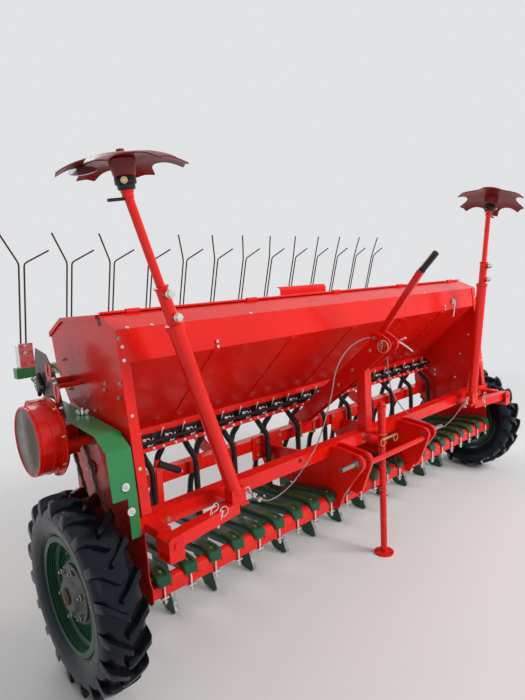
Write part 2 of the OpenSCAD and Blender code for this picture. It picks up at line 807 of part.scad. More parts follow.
module rim() {
    translate([wheel_x, axle_y, axle_z])
        rotate([0, 90, 0])
            difference() {
                union() {
                    rotate_extrude($fn = 96) polygon(rim_pts);
                    rotate_extrude($fn = 96) polygon(dish_pts);
                    translate([0, 0, hub_in - wheel_x])
                        cylinder(h = hub_out - hub_in, r = 31, $fn = 64);
                    translate([0, 0, -hub_half]) cylinder(h = 2 * hub_half, r = 46, $fn = 64);
                    translate([0, 0, chain_x - 5 - wheel_x])
                        cylinder(h = 10, r = chain_r - 11, $fn = 64);
                }
                translate([0, 0, hub_in - wheel_x - 1])
                    cylinder(h = hub_out - hub_in + 2, r = axle_r + axle_fit, $fn = 64);
                for (a = [0:72:288])
                    rotate([0, 0, a]) translate([155, 0, -10]) cylinder(h = 30, r = 14, $fn = 32);
            }
}

module rim_left() {
    color(green) mirrored(-1) rim();
}

module rim_right() {
    color(green) mirrored(1) rim();
}

drum_in = body_half + 15 + guard_w + 6;

module gearbox() {
    color(red)
        mirrored(-1) {
            translate([body_half + 46, drum_y - 70, drum_z - 70])
                cube([drum_in - body_half - 46, 140, 118]);
            translate([body_half, chain_top[0], chain_top[1]])
                rotate([0, 90, 0]) cylinder(h = 50, r = 24, $fn = 48);
            translate([chain_x - 5, chain_top[0], chain_top[1]])
                rotate([0, 90, 0]) cylinder(h = 10, r = chain_r - 7, $fn = 64);
            translate([drum_in, drum_y, drum_z])
                rotate([0, 90, 0]) cylinder(h = drum_x - drum_in - 8, r = drum_r, $fn = 96);
            translate([drum_in, drum_y, drum_z])
                rotate([0, 90, 0]) cylinder(h = 9, r = drum_r + 8, $fn = 96);
            difference() {
                translate([drum_x - 8, drum_y, drum_z])
                    rotate([0, 90, 0]) cylinder(h = 8, r = drum_r - 4, $fn = 96);
                translate([drum_x - 5, drum_y, drum_z])
                    rotate([0, 90, 0]) cylinder(h = 10, r = drum_r - 24, $fn = 96);
            }
            translate([drum_x - 6, drum_y, drum_z])
                rotate([0, 90, 0]) cylinder(h = 12, r = 24, $fn = 48);
        }
}

scale_x = drum_in - 5;
scale_hub = [drum_y + 87, drum_z + 197];
stay_at = [drum_y - 35, drum_z + 198];

module scale_plate() {
    hub = scale_hub;
    color(steel)
        mirrored(-1)
            difference() {
                yz_plate(scale_x, 3)
                    polygon([for (q = [[-128, 94], [-65, 248], [15, 323], [121, 341], [147, 278],
                        [135, 162], [75, 150], [-25, 150], [-115, 88]]) [drum_y, drum_z] + q]);
                translate([scale_x - 1, hub[0], hub[1]])
                    rotate([0, 90, 0]) cylinder(h = 5, r = 14, $fn = 40);
            }
    color(dark)
        mirrored(-1) {
            rod([body_half, hub[0], hub[1]], [scale_x + 22, hub[0], hub[1]], 14);
            rod([scale_x + 3, hub[0], hub[1]], [scale_x + 20, hub[0], hub[1]], 30);
            rod([body_half, stay_at[0], stay_at[1]], [scale_x, stay_at[0], stay_at[1]], 8);
        }
}

guard_x = body_half + 15;
guard_back = [drum_y + 135, drum_z + 102];
guard_top = [beam_front_y + 96, drum_z + 65];
guard_nose = [beam_front_y + 15, drum_z + 19];
guard_low = [beam_front_y - 3, beam_z + 120];
guard_pts = [guard_back, guard_top, guard_nose, guard_low];
tab_pts = [guard_low + [0, 2], guard_low + [-3, -86], guard_low + [-3, -150]];

module drive_guard() {
    color("#3f9a58")
        mirrored(-1)
            difference() {
                union() {
                    yz_plate(guard_x, guard_w) polygon(strip(guard_pts, guard_t));
                    yz_plate(guard_x, 36) polygon(strip(tab_pts, guard_t));
                    translate([body_half, guard_top[0] + 6, guard_top[1] - 42])
                        cube([18, 40, 30]);
                    translate([body_half, guard_back[0] - 300, guard_back[1] - 64])
                        cube([18, 40, 30]);
                    translate([body_half, guard_low[0] + 45, guard_low[1] + 10])
                        cube([18, 20, 40]);
                    yz_plate(guard_x, guard_t)
                        polygon([guard_back - [2, 2], guard_top - [0, 2], guard_nose + [1, -1],
                            guard_low + [1, 2], guard_low + [45, 2], guard_low + [85, 150],
                            guard_back + [-270, -69]]);
                }
                for (z = [guard_low[1] + 50, guard_low[1] + 120])
                    translate([guard_x + 70, 0, z]) rotate([-90, 0, 0]) cylinder(h = 60, r = 5, $fn = 24);
            }
}

// Roller chain from the wheel's sprocket to the drive box, one block for each link
chain_x = body_half + 30;
chain_low = [axle_y, axle_z];
chain_top = [drum_y, drum_z - 20];
chain_r = 62;
chain_run = norm(chain_top - chain_low);
chain_turn = atan2(chain_top[1] - chain_low[1], chain_top[0] - chain_low[0]);
chain_loop = 2 * chain_run + 2 * PI * chain_r;
chain_links = 52;
function chain_at(s) = s < chain_run ? [s, -chain_r, 0]
    : s < chain_run + PI * chain_r
        ? let (a = (s - chain_run) / chain_r * 57.2958 - 90)
            [chain_run + chain_r * cos(a), chain_r * sin(a), a + 90]
    : s < 2 * chain_run + PI * chain_r ? [2 * chain_run + PI * chain_r - s, chain_r, 180]
    : let (a = (s - 2 * chain_run - PI * chain_r) / chain_r * 57.2958 + 90)
        [chain_r * cos(a), chain_r * sin(a), a + 90];

module drive_chain() {
    color(steel)
        mirrored(-1)
            translate([chain_x, chain_low[0], chain_low[1]])
                rotate([chain_turn, 0, 0])
                    for (i = [0:chain_links - 1])
                        let (q = chain_at((i + 0.5) * chain_loop / chain_links),
                             w = i % 2 == 0 ? 16 : 11, l = chain_loop / chain_links + 5)
                            translate([-w / 2, q[0], q[1]])
                                rotate([q[2], 0, 0])
                                    translate([0, -l / 2, -6]) cube([w, l, 12]);
}

module pressure_crank() {
    x = -body_half + 115;
    color(red)
        translate([x - 12, beam_front_y + beam_size, beam_z - 20]) cube([24, 8, 215]);
    color(dark)
        rod([x, beam_front_y + beam_size + 4, beam_z + 182], [x + 90, beam_front_y + beam_size + 4,
            beam_z + 128], 12);
}

marker_skew = -0.15;
arm_in_y = marker_y;
arm_in_x = marker_base_x;
pivot_y = arm_in_y + marker_skew * (marker_pivot_x - marker_base_x);
pivot_gap = arm_size / 2 + 8;
pivot_r = 10;

module marker_bracket() {
    difference() {
        union() {
            for (y = [pivot_y + pivot_gap + 8, pivot_y - pivot_gap])
                xz_plate(y, 8)
                    polygon([[marker_pivot_x - 30, marker_pivot_z - 57], [marker_pivot_x - 30,
                        marker_pivot_z + 20],
                        [marker_pivot_x - 14, marker_pivot_z + 34], [marker_pivot_x + 14,
                            marker_pivot_z + 34],
                        [marker_pivot_x + 30, marker_pivot_z + 20], [marker_pivot_x + 30,
                            marker_pivot_z - 57]]);
            translate([marker_pivot_x - 30, pivot_y - pivot_gap - 8, marker_pivot_z - 57])
                cube([60, 2 * pivot_gap + 16, 8]);
            translate([marker_pivot_x - 30, pivot_y + pivot_gap + 8, marker_pivot_z - 2])
                cube([50, beam_front_y - pivot_y - pivot_gap - 8, 34]);
        }
        translate([marker_pivot_x, pivot_y + pivot_gap + 9, marker_pivot_z])
            rotate([90, 0, 0]) cylinder(h = 2 * pivot_gap + 18, r = pivot_r, $fn = 40);
    }
    translate([marker_pivot_x, pivot_y + pivot_gap + 8, marker_pivot_z])
        rotate([90, 0, 0]) cylinder(h = 2 * pivot_gap + 22, r = pivot_r, $fn = 40);
    // Rest below the marker's inner end
    difference() {
        translate([marker_base_x - 50, marker_y - 22, marker_rest_z - 10])
            cube([40, beam_front_y - marker_y + 22, 10]);
        translate([marker_base_x - 24, marker_y, marker_rest_z - 11])
            cylinder(h = 12, r = 6, $fn = 32);
    }
}

block_half = 34;
block_low = marker_base_z - 42;
marker_rest_z = block_low - seat_gap;

module marker_brackets() {
    color(red)
        for (side = [-1, 1])
            mirrored(side) marker_bracket();
}

tube_l = marker_l + marker_sleeve_l + inner_l;

// One row marker: skewed arm, corner block, leaning tube, clamp sleeve, inner tube and disc pin
module marker(lean, tip) {
    up = [sin(tip), 0, cos(tip)];
    base = [marker_base_x, marker_y, marker_base_z];
    dir = [sin(lean), 0, cos(lean)];
    top = base + dir * tube_l;
    arm_out_x = marker_pivot_x + 34;
    arm_out_y = arm_in_y + marker_skew * (arm_out_x - arm_in_x);
    difference() {
        translate([0, 0, marker_pivot_z])
            linear_extrude(height = arm_size, center = true)
                polygon([[arm_in_x, arm_in_y - arm_size / 2],
                    [arm_out_x, arm_out_y - arm_size / 2],
                    [arm_out_x, arm_out_y + arm_size / 2],
                    [arm_in_x, arm_in_y + arm_size / 2]]);
        translate([marker_pivot_x, pivot_y + 60, marker_pivot_z])
            rotate([90, 0, 0]) cylinder(h = 120, r = pivot_r + 0.08, $fn = 40);
    }
    translate([marker_base_x - block_half, marker_y - arm_size / 2, block_low])
        cube([2 * block_half, arm_size, 66]);
    rod(base, base + dir * marker_l, marker_r);
    rod(base + dir * (marker_l - 12), base + dir * (marker_l + 4), marker_r + 4);
    rod(base + dir * marker_l, base + dir * (marker_l + marker_sleeve_l), inner_r + 7);
    rod(base + dir * marker_l, top, inner_r);
    translate(top) sphere(r = inner_r + 1, $fn = 32);
    rod(top, top + up * 52, inner_r);
    rod(top + up * 48, top + up * 88, 24);
    rod(top + up * 48, top + up * (disc_up + 22), marker_pin_r);
    rod(top + up * (disc_up + 18), top + up * (disc_up + 24), 16);
    // Lug for the lifting cable
    difference() {
        translate([marker_base_x - block_half - 24, marker_y - 5, marker_base_z - 16])
            cube([26, 10, 26]);
        translate([marker_base_x - block_half - 12, marker_y + 6, marker_base_z - 3])
            rotate([90, 0, 0]) cylinder(h = 12, r = 5, $fn = 24);
    }
}

marker_pin_r = 12;
tip_a = [-0.86, -1.04, 0.96];
tip_b = [0.9, 0, 0.44];
disc_up = 108;

module marker_left() {
    color(red) mirrored(-1) marker(lean_left, tip_left);
}

module marker_right() {
    color(red) mirrored(1) marker(lean_right, tip_right);
}

function marker_top(lean) = [marker_base_x + sin(lean) * tube_l, marker_y,
    marker_base_z + cos(lean) * tube_l];

// Dished disc with deep round notches and a cone under it, its hub on the marker's pin
module marker_disc(lean, tip) {
    translate(marker_top(lean) + disc_up * [sin(tip), 0, cos(tip)])
        rotate([0, tip, 0])
        difference() {
            union() {
                rotate_extrude($fn = 96)
                    polygon(strip([[20, 2], [90, 4], [disc_r * 0.75, -6], [disc_r, -26]], disc_t));
                translate([0, 0, -19]) cylinder(h = 21, r1 = 25, r2 = 34, $fn = 48);
                cylinder(h = 16, r = 30, $fn = 48);
            }
            translate([0, 0, -40]) cylinder(h = 80, r = marker_pin_r + 0.08, $fn = 40);
            for (i = [0:notch_count - 1])
                rotate([0, 0, (i + 0.5) * 360 / notch_count])
                    translate([disc_r - 6, 0, -60]) cylinder(h = 90, r = notch_r, $fn = 48);
        }
}

module marker_disc_left() {
    color(red) mirrored(-1) marker_disc(lean_left, tip_left);
}

module marker_disc_right() {
    color(red) mirrored(1) marker_disc(lean_right, tip_right);
}

module lid() {
    half = body_half + 5 + lid_t;
    handle_y = lid_back_y - handle_back;
    handle_z = ridge_z + (lid_back_z - ridge_z) * (handle_y - ridge_y) / (lid_back_y - ridge_y);
    color(red) {
        yz_plate(-half, 2 * half) polygon(strip(off(roof_pts, 1), lid_t));
        for (x = [-half, half - lid_t])
            yz_plate(x, lid_t) polygon(strip(off([roof_pts[0], roof_pts[1], roof_pts[2]],
                1 + lid_t), -lid_skirt));
        difference() {
            translate([-inner_half, hinge_y, hinge_z - 2])
                cube([2 * inner_half, roof_pts[0][0] + 2 - hinge_y, 3.5]);
            for (x = knuckles)
                translate([x - knuckle_l / 2 - knuckle_gap, hinge_y - 20, hinge_z - 20])
                    cube([knuckle_l + 2 * knuckle_gap, 40, 40]);
        }
        translate([-inner_half, hinge_y, hinge_z])
            rotate([0, 90, 0]) cylinder(h = 2 * inner_half, r = lid_rod_r, $fn = 40);
        translate([0, handle_y, handle_z + lid_t])
            yz_plate(-handle_w / 2, handle_w)
                polygon([[0, 0], [4, 0], [4, handle_h - 18], [12, handle_h - 6], [26, handle_h - 4],
                    [26, handle_h], [10, handle_h - 2], [0, handle_h - 16]]);
    }
}

bracket_r = 26;
harrow_pin_r = 12;

module harrow_brackets() {
    color(red)
        for (side = [-1, 1])
            mirrored(side) {
                yz_plate(harrow_arm_x - 6, 12)
                    polygon([[rear_beam_y + beam_size / 2, rear_beam_z - 30],
                        [rear_beam_y + beam_size / 2, rear_beam_z + 30],
                        [rear_beam_y + 70, rear_beam_z + 50], [harrow_y - 26, harrow_z + 14],
                        [harrow_y + 26, harrow_z + 14], [harrow_y + 26, harrow_z - 14],
                            [rear_beam_y + 130, rear_beam_z + 10]]);
                rod([harrow_arm_x - 6, harrow_y, harrow_z], [harrow_arm_x + 6, harrow_y, harrow_z],
                    bracket_r);
                rod([harrow_arm_x - 34, harrow_y, harrow_z], [harrow_arm_x + 34, harrow_y,
                    harrow_z], harrow_pin_r);
            }
}

module harrow_frame() {
    color("#3f9a58") {
        x_tube(tine_beam_half, tine_beam, tine_beam_y, tine_beam_z);
        for (side = [-1, 1], x = [harrow_arm_x - 21, harrow_arm_x + 11])
            mirrored(side)
                difference() {
                    union() {
                        yz_plate(x, 10)
                            polygon([[harrow_y - 16, harrow_z + 16], [tine_beam_y - 40, tine_beam_z - 12],
                                [tine_beam_y - 20, tine_beam_z + 20], [tine_beam_y + 20, tine_beam_z + 20],
                                [tine_beam_y + 20, tine_beam_z - 40], [harrow_y + 20, harrow_z - 10]]);
                        translate([x, harrow_y, harrow_z])
                            rotate([0, 90, 0]) cylinder(h = 10, r = bracket_r, $fn = 48);
                    }
                    translate([x - 1, harrow_y, harrow_z])
                        rotate([0, 90, 0]) cylinder(h = 12, r = harrow_pin_r + 0.08, $fn = 48);
                }
    }
}

// Double tines: two coils on a clip and two long legs with splayed tips
module harrow_tines() {
    top = tine_beam_z + tine_beam / 2;
    color(dark)
        for (i = [0:tine_count - 1])
            let (x = (i - (tine_count - 1) / 2) * tine_pitch)
                translate([x, tine_beam_y, 0]) {
                    translate([-20, -18, top]) cube([40, 36, 10]);
                    for (side = [-1, 1]) {
                        difference() {
                            rod([side * 12, 0, top + 30], [side * 42, 0, top + 30], 22);
                            rod([side * 11, 0, top + 30], [side * 43, 0, top + 30], 14);
                        }
                        bend = [side * 12, -tine_lean, tine_bend_z];
                        rod([side * 38, 18, top + 30], bend, tine_r);
                        translate(bend) sphere(r = tine_r + 0.5, $fn = 16);
                        rod(bend, bend + tine_tip * (side < 0 ? tip_a : tip_b), tine_r);
                    }
                }
}

// Thin steel cables from the lever to the markers, swept along a few points
cable_r = 3;
cable_steps = 6;
cable_left_pts = [[-48, 8, 1150], [-110, -12, 1160], [-200, -24, 1158], [-300, -28, 1126],
    [-380, -29, 1050], [-430, -30, 920], [-515, -32, 760], [-635, -36, 655], [-735, -40, 605],
    [-830, -40, 590], [-885, -26, 612], [-913, -2, 646]];
cable_right_pts = [[48, 8, 1150], [66, 8, 1060], [84, 12, 950], [120, 14, 845], [242, 14, 712],
    [393, 10, 628], [585, 2, 545], [709, -2, 560], [820, -4, 610], [913, -1, 647]];
function spline(a, b, c, d,
    t) = b + 0.5 * t * (c - a + t * (2 * a - 5 * b + 4 * c - d + t * (3 * b - a - 3 * c + d)));
function route(p) = [for (i = [0:len(p) - 2], k = [0:cable_steps - 1])
    spline(p[max(i - 1, 0)], p[i], p[i + 1], p[min(i + 2, len(p) - 1)], k / cable_steps), p[len(p) - 1]];
function cable_ring(q, t) = let (u = unit(cross(t, [0, 1, 0])), v = cross(t, u))
    [for (a = [0:45:315]) q + cable_r * (cos(a) * u + sin(a) * v)];

module cable(pts) {
    r = route(pts);
    n = len(r);
    points = [for (i = [0:n - 1]) each cable_ring(r[i], unit(r[min(i + 1, n - 1)] - r[max(i - 1, 0)]))];
    sides = [for (i = [0:n - 2], j = [0:7])
        [8 * i + j, 8 * i + (j + 1) % 8, 8 * i + 8 + (j + 1) % 8, 8 * i + 8 + j]];
    polyhedron(points = points, faces = concat([[for (j = [7:-1:0]) j]], sides,
        [[for (j = [0:7]) 8 * (n - 1) + j]]));
}

module cable_left() {
    color(steel) cable(cable_left_pts);
}

module cable_right() {
    color(steel) cable(cable_right_pts);
}

front_beam();
rear_beam();
side_plate_left();
side_plate_right();
coulter_bar();
link_brackets();
link_pins();
link_tie();
tower();
top_link_pin();
marker_lever();
stand_sleeve();
hopper();
hopper_ribs();
metering_housings();
metering_shaft();
metering_rail();
seed_tubes();
short_arms();
long_arms();
arm_clamps();
u_bolts();
coulters();
axles();
gearbox();
scale_plate();
drive_guard();
drive_chain();
pressure_crank();
marker_brackets();
harrow_brackets();
cable_left();
cable_right();
tyre_left();
rim_left();
tyre_right();
rim_right();
stand_leg();
lid();
marker_left();
marker_right();
marker_disc_left();
marker_disc_right();
harrow_frame();
harrow_tines();
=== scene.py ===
# %% [markdown]
# # Seed drill
# A tractor-mounted seed drill is built here as it stands parked: a long red hopper on a tube frame,
# a black metering row under it, twenty-three green coulter arms, two lugged tyres, two folded row
# markers with notched discs, and a rake of wire tines behind.
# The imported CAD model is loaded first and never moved. Everything made below sits on it.

# %% Load the frame
import bpy
import numpy as np
from mathutils import Matrix, Vector


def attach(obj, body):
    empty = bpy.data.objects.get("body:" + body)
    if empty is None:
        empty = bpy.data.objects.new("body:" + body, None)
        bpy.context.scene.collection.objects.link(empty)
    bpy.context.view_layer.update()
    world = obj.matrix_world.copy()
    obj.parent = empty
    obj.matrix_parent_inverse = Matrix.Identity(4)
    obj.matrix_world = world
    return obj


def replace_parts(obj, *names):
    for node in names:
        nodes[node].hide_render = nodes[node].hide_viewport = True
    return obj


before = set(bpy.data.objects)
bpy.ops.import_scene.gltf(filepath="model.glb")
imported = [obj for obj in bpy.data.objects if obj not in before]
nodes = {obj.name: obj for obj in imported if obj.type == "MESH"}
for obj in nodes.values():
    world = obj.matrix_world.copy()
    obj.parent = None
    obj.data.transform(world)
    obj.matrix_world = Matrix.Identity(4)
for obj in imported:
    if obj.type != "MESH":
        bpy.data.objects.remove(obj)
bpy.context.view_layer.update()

mm = 0.001
both_sides = ((-1, "left"), (1, "right"))

# %% [markdown]
# ## Camera
# The photographer stood in front of the left wheel and a little above the hopper, with a wide lens.
# The camera's place and its three directions were worked out from points whose real places are
# known, such as the row of coulters. The roll of almost three degrees is there because the machine
# leans back a little as it was parked, and the model stands upright.

# %% Camera
camera_at = Vector((-2.1705, -1.5241, 1.4908))
camera_right = Vector((0.7362, -0.6749, -0.0509))
camera_up = Vector((0.1342, 0.0719, 0.9883))
camera_forward = Vector((0.6634, 0.7344, -0.1435))
camera_turn = Matrix((camera_right, camera_up, -camera_forward)).transposed().to_4x4()
lens = bpy.data.cameras.new("camera")
lens.lens = 26.9
lens.sensor_width = 36
lens.sensor_fit = "AUTO"
camera = bpy.data.objects.new("camera", lens)
camera.matrix_world = Matrix.Translation(camera_at) @ camera_turn
bpy.context.scene.collection.objects.link(camera)
bpy.context.scene.camera = camera
print("lens", lens.lens, "mm, at", [round(v, 2) for v in camera_at])

# %% [markdown]
# ## Shapes as arrays
# Every new piece is a pair of arrays: its points in millimetres and its faces. Most surfaces are a
# grid of points that closes round one way, like the skin of a tube, so one function makes the
# faces of them all. A profile turned round an axis makes bolts, hubs and covers.

# %% Skins and turned shapes
def grid_faces(rows, columns, wrap_rows=False, wrap_columns=True):
    """The four-sided faces of a grid: point (i, j) joins (i, j+1), (i+1, j+1) and (i+1, j)."""
    i = np.arange(rows if wrap_rows else rows - 1)[:, None]
    j = np.arange(columns if wrap_columns else columns - 1)[None, :]
    i2, j2 = (i + 1) % rows, (j + 1) % columns
    quads = np.stack([i * columns + j, i * columns + j2, i2 * columns + j2, i2 * columns + j], -1)
    return [tuple(f) for f in quads.reshape(-1, 4)]


def skin(points, closed=False):
    """The shape of a grid of points (rows, columns, 3) that closes round its columns. It closes
    along its rows as well, or else has a flat face on each end."""
    n, m = points.shape[:2]
    faces = grid_faces(n, m, wrap_rows=closed)
    if not closed:
        faces += [tuple(range(m))[::-1], tuple(range((n - 1) * m, n * m))]
    return points.reshape(-1, 3), faces


def joined(*parts):
    """One shape from several: the faces of each count on from the points before them."""
    starts = np.cumsum([0] + [len(p[0]) for p in parts[:-1]])
    faces = [[tuple(int(v) + s for v in f) for f in p[1]] for p, s in zip(parts, starts)]
    return np.vstack([p[0] for p in parts]), sum(faces, [])


def moved(shape, by):
    """A shape moved by (x, y, z)."""
    return shape[0] + by, shape[1]


def flipped(shape, mirror=(-1, 1, 1)):
    """A shape mirrored, in X if nothing else is said, with its faces turned to look outwards."""
    return shape[0] * mirror, [f[::-1] for f in shape[1]]


def outwards(shape, side):
    """Mirrors a shape for the left side of the machine and leaves it for the right."""
    return shape if side > 0 else flipped(shape)


def lathe(profile, sides):
    """A profile of (radius, height) turned round Z: x = r cos a, y = r sin a, z = h."""
    r, h = np.array(profile, float).T
    a = np.linspace(0, 2 * np.pi, sides, endpoint=False)
    return skin(np.stack([r[:, None] * np.cos(a), r[:, None] * np.sin(a), h[:, None] + 0 * a], -1))


print("skins ready")

# %% [markdown]
# ## Shapes along a path
# A section carried along a path makes tubes, hooks, wires and bars, much as a tube bender or a
# rolling mill makes the real ones. The path is a smooth line through the few points where the
# part bends, and the section is turned as little as can be on the way.

# %% Paths
def ring_section(radius, sides):
    """A round section, or a polygon with its radius measured to a corner: (r cos a, r sin a)."""
    a = np.linspace(0, 2 * np.pi, sides, endpoint=False)
    return np.stack([radius * np.cos(a), radius * np.sin(a)], -1)


def circle(radius, sides=20, axis=2, height=0.0):
    """The points of a circle round one axis: a round section with the height put in as that axis."""
    return np.insert(ring_section(radius, sides), axis, height, axis=1)


def frames_along(path, closed=False):
    """Two directions across a path at each of its points, turned as little as can be: the first
    pair is carried on by taking the path's direction out of it."""
    path = np.array(path, float)
    if closed:
        along = np.roll(path, -1, 0) - np.roll(path, 1, 0)
    else:
        along = np.gradient(path, axis=0)
    along /= np.linalg.norm(along, axis=1)[:, None]
    start = np.array([0, 0, 1.0]) if abs(along[0, 2]) < 0.9 else np.array([1.0, 0, 0])
    across = []
    for d in along:
        start = start - d * (start @ d)
        start /= np.linalg.norm(start)
        across.append(start)
    across = np.array(across)
    return path[:, None], across[:, None], np.cross(along, across)[:, None]


def swept(path, section, closed=False, scale=None):
    """A section of (u, v) points carried along a path: each point is path + u * across + v * side.
    scale is one number for each path point."""
    path, across, side = frames_along(path, closed)
    u, v = np.array(section, float).T
    s = np.ones(len(path)) if scale is None else np.array(scale, float)
    u, v = (s[:, None] * u)[..., None], (s[:, None] * v)[..., None]
    return skin(path + u * across + v * side, closed)


def length_run(path):
    """How far along a path each of its points lies: the sum of the steps before it."""
    return np.concatenate([[0], np.cumsum(np.linalg.norm(np.diff(path, axis=0), axis=1))])


def smooth_path(points, steps):
    """A smooth line through a few points: between two points, the cubic with the slope that their
    neighbours give."""
    p = np.array(points, float)
    p = np.vstack([2 * p[0] - p[1], p, 2 * p[-1] - p[-2]])
    t = np.linspace(0, 1, steps, endpoint=False)[:, None, None]
    a, b, c, d = p[:-3], p[1:-2], p[2:-1], p[3:]
    q = 0.5 * (2 * b + (c - a) * t + (2 * a - 5 * b + 4 * c - d) * t**2 + (3 * b - a - 3 * c + d) * t**3)
    return np.vstack([q.transpose(1, 0, 2).reshape(-1, p.shape[1]), p[-2]])


def bent_wire(points, radius, steps=6, sides=8):
    """A wire of one radius on a smooth line through its bends."""
    return swept(smooth_path(points, steps), ring_section(radius, sides))


def wire_ring(radius, wire, sides=20, wire_sides=10, axis=2, height=0.0):
    """A closed ring of round wire."""
    return swept(circle(radius, sides, axis, height), ring_section(wire, wire_sides), closed=True)


print("paths ready")

# %% [markdown]
# ## Plates and blocks
# An outline given a thickness makes plates, washers and nuts. Cut and pressed edges are never
# quite sharp, so each outline is drawn in a little on both faces and a small chamfer is left.

# %% Plates
def slab(outline, thick, edge):
    """An outline of (x, y) given a thickness along Z, with a small chamfer: the outline is moved
    inwards by the chamfer on the first and last of its four rings."""
    p = np.array(outline, float)
    before, after = p - np.roll(p, 1, 0), np.roll(p, -1, 0) - p
    n1 = np.stack([before[:, 1], -before[:, 0]], -1) / np.linalg.norm(before, axis=1)[:, None]
    n2 = np.stack([after[:, 1], -after[:, 0]], -1) / np.linalg.norm(after, axis=1)[:, None]
    out = (n1 + n2) / (1 + (n1 * n2).sum(1))[:, None]
    area = (p[:, 0] * np.roll(p[:, 1], -1) - np.roll(p[:, 0], -1) * p[:, 1]).sum()
    inner = p - out * edge * np.sign(area)
    rings = [(inner, 0), (p, edge), (p, thick - edge), (inner, thick)]
    points, faces = skin(np.stack([np.column_stack([q, np.full(len(q), z)]) for q, z in rings]))
    return points, faces if area > 0 else [f[::-1] for f in faces]


def rounded(width, height, corner):
    """The outline of a rectangle round (0, 0) with its corners rounded by quarter circles."""
    a = np.linspace(0, np.pi / 2, 5)
    quarter = np.stack([np.cos(a), np.sin(a)], -1) * corner
    centres = np.array([[1, 1], [-1, 1], [-1, -1], [1, -1]]) * [width / 2 - corner, height / 2 - corner]
    turns = [np.array([[c, s], [-s, c]]) for c, s in ((1, 0), (0, 1), (-1, 0), (0, -1))]
    return np.vstack([centres[k] + quarter @ turns[k] for k in range(4)])


def box(x, y, z, edge=0.8):
    """A box with chamfered edges from three pairs of limits."""
    outline = [(x[0], y[0]), (x[1], y[0]), (x[1], y[1]), (x[0], y[1])]
    return moved(slab(outline, z[1] - z[0], edge), [0, 0, z[0]])


print("plates ready")

# %% [markdown]
# ## Copies and pieces
# A copy of a shape at many places makes a row of fasteners in one mesh, as the real machine has
# one bolt from the bin at each of many holes. The last function turns a shape into a piece of the
# scene, says which body it rides on and which paint or metal it is.

# %% Copies and pieces
def axes_to(direction, up=(0, 0, 1)):
    """The turn that takes Z to a direction and Y as near as can be to up."""
    z = np.array(direction, float) / np.linalg.norm(direction)
    x = np.cross(up, z)
    if np.linalg.norm(x) < 1e-6:
        x = np.cross((0, 1, 0), z)
    x /= np.linalg.norm(x)
    return np.stack([x, np.cross(z, x), z], 1)


def copies(shape, places, turn=None):
    """One shape at many places: each copy is the points, turned, plus the place. turn is one turn
    for all, or one for each."""
    points, faces = shape
    places = np.atleast_2d(np.array(places, float))
    turn = np.eye(3) if turn is None else np.array(turn, float)
    turned = points @ (turn.T if turn.ndim == 2 else turn.transpose(0, 2, 1))
    everything = (turned[None] if turned.ndim == 2 else turned) + places[:, None]
    count = len(points)
    all_faces = [tuple(v + k * count for v in f) for k in range(len(places)) for f in faces]
    return everything.reshape(-1, 3), all_faces


def add_piece(name, shape, material, body="frame", smooth=40):
    """Puts a shape into the scene as one piece that rides on a body. Faces that meet at less than
    smooth degrees are shaded as one surface."""
    points, faces = shape
    mesh = bpy.data.meshes.new(name)
    mesh.from_pydata((np.asarray(points) * mm).tolist(), [], [tuple(int(v) for v in f) for f in faces])
    mesh.materials.append(material)
    mesh.validate()
    mesh.shade_smooth()
    mesh.set_sharp_from_angle(angle=np.radians(smooth))
    piece = bpy.data.objects.new(name, mesh)
    bpy.context.scene.collection.objects.link(piece)
    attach(piece, body)
    return piece


print("pieces can be made")

# %% [markdown]
# ## Shader nodes
# Every paint, the floor and the sky are small trees of shader nodes. Two functions add a node and
# fill its inputs, either with a number or a colour or with what another node gives.

# %% Node helpers
def feed(tree, node, inputs):
    """Fills a node's inputs: each is a plain value, or the output of another node joined to it."""
    for key, value in inputs.items():
        if isinstance(value, bpy.types.NodeSocket):
            tree.links.new(value, node.inputs[key])
        else:
            node.inputs[key].default_value = value


def node(tree, kind, inputs=None, **settings):
    """Adds a shader node of one kind, with its settings and its inputs."""
    new = tree.nodes.new("ShaderNode" + kind)
    for key, value in settings.items():
        setattr(new, key, value)
    feed(tree, new, inputs or {})
    return new


print("nodes can be made")

# %% [markdown]
# ## Floor
# The studio floor is one pale disc, matt as painted concrete. Its paint fades into the brightness
# of the sky with the distance, so no horizon cuts the picture.

# %% Floor
sky_tint = (0.97, 0.98, 1.0, 1)
sky_seen, sky_shed = 0.78, 0.40


def soft_floor():
    """A disc of points in rings: x = r cos a, y = r sin a, just under zero. Its paint fades into
    the sky's own brightness with the distance from the middle."""
    r, a = np.linspace(0.01, 18, 12), np.linspace(0, 2 * np.pi, 64, endpoint=False)
    points = np.stack([r[:, None] * np.cos(a), r[:, None] * np.sin(a), 0 * r[:, None] * a - 0.0004], -1)
    mesh = bpy.data.meshes.new("floor")
    mesh.from_pydata(points.reshape(-1, 3).tolist(), [], grid_faces(12, 64))
    floor = bpy.data.objects.new("floor", mesh)
    bpy.context.scene.collection.objects.link(floor)
    paint = bpy.data.materials.new("floor_paint")
    paint.use_nodes = True
    tree = paint.node_tree
    shader = tree.nodes["Principled BSDF"]
    feed(tree, shader, {"Base Color": (0.80, 0.80, 0.79, 1), "Roughness": 0.9, "Specular IOR Level": 0.1})
    place = node(tree, "TexCoord")
    away = node(tree, "VectorMath", {0: place.outputs["Object"]}, operation="LENGTH")
    fade = node(tree, "MapRange", {"From Min": 2.0, "From Max": 5.5, "Value": away.outputs["Value"]})
    glow = node(tree, "Emission", {"Color": sky_tint, "Strength": sky_seen})
    mix = node(tree, "MixShader", {"Fac": fade.outputs["Result"], 1: shader.outputs["BSDF"],
                                   2: glow.outputs["Emission"]})
    feed(tree, tree.nodes["Material Output"], {"Surface": mix.outputs["Shader"]})
    mesh.materials.append(paint)


soft_floor()
print("floor fades from 2.0 to 5.5 m")

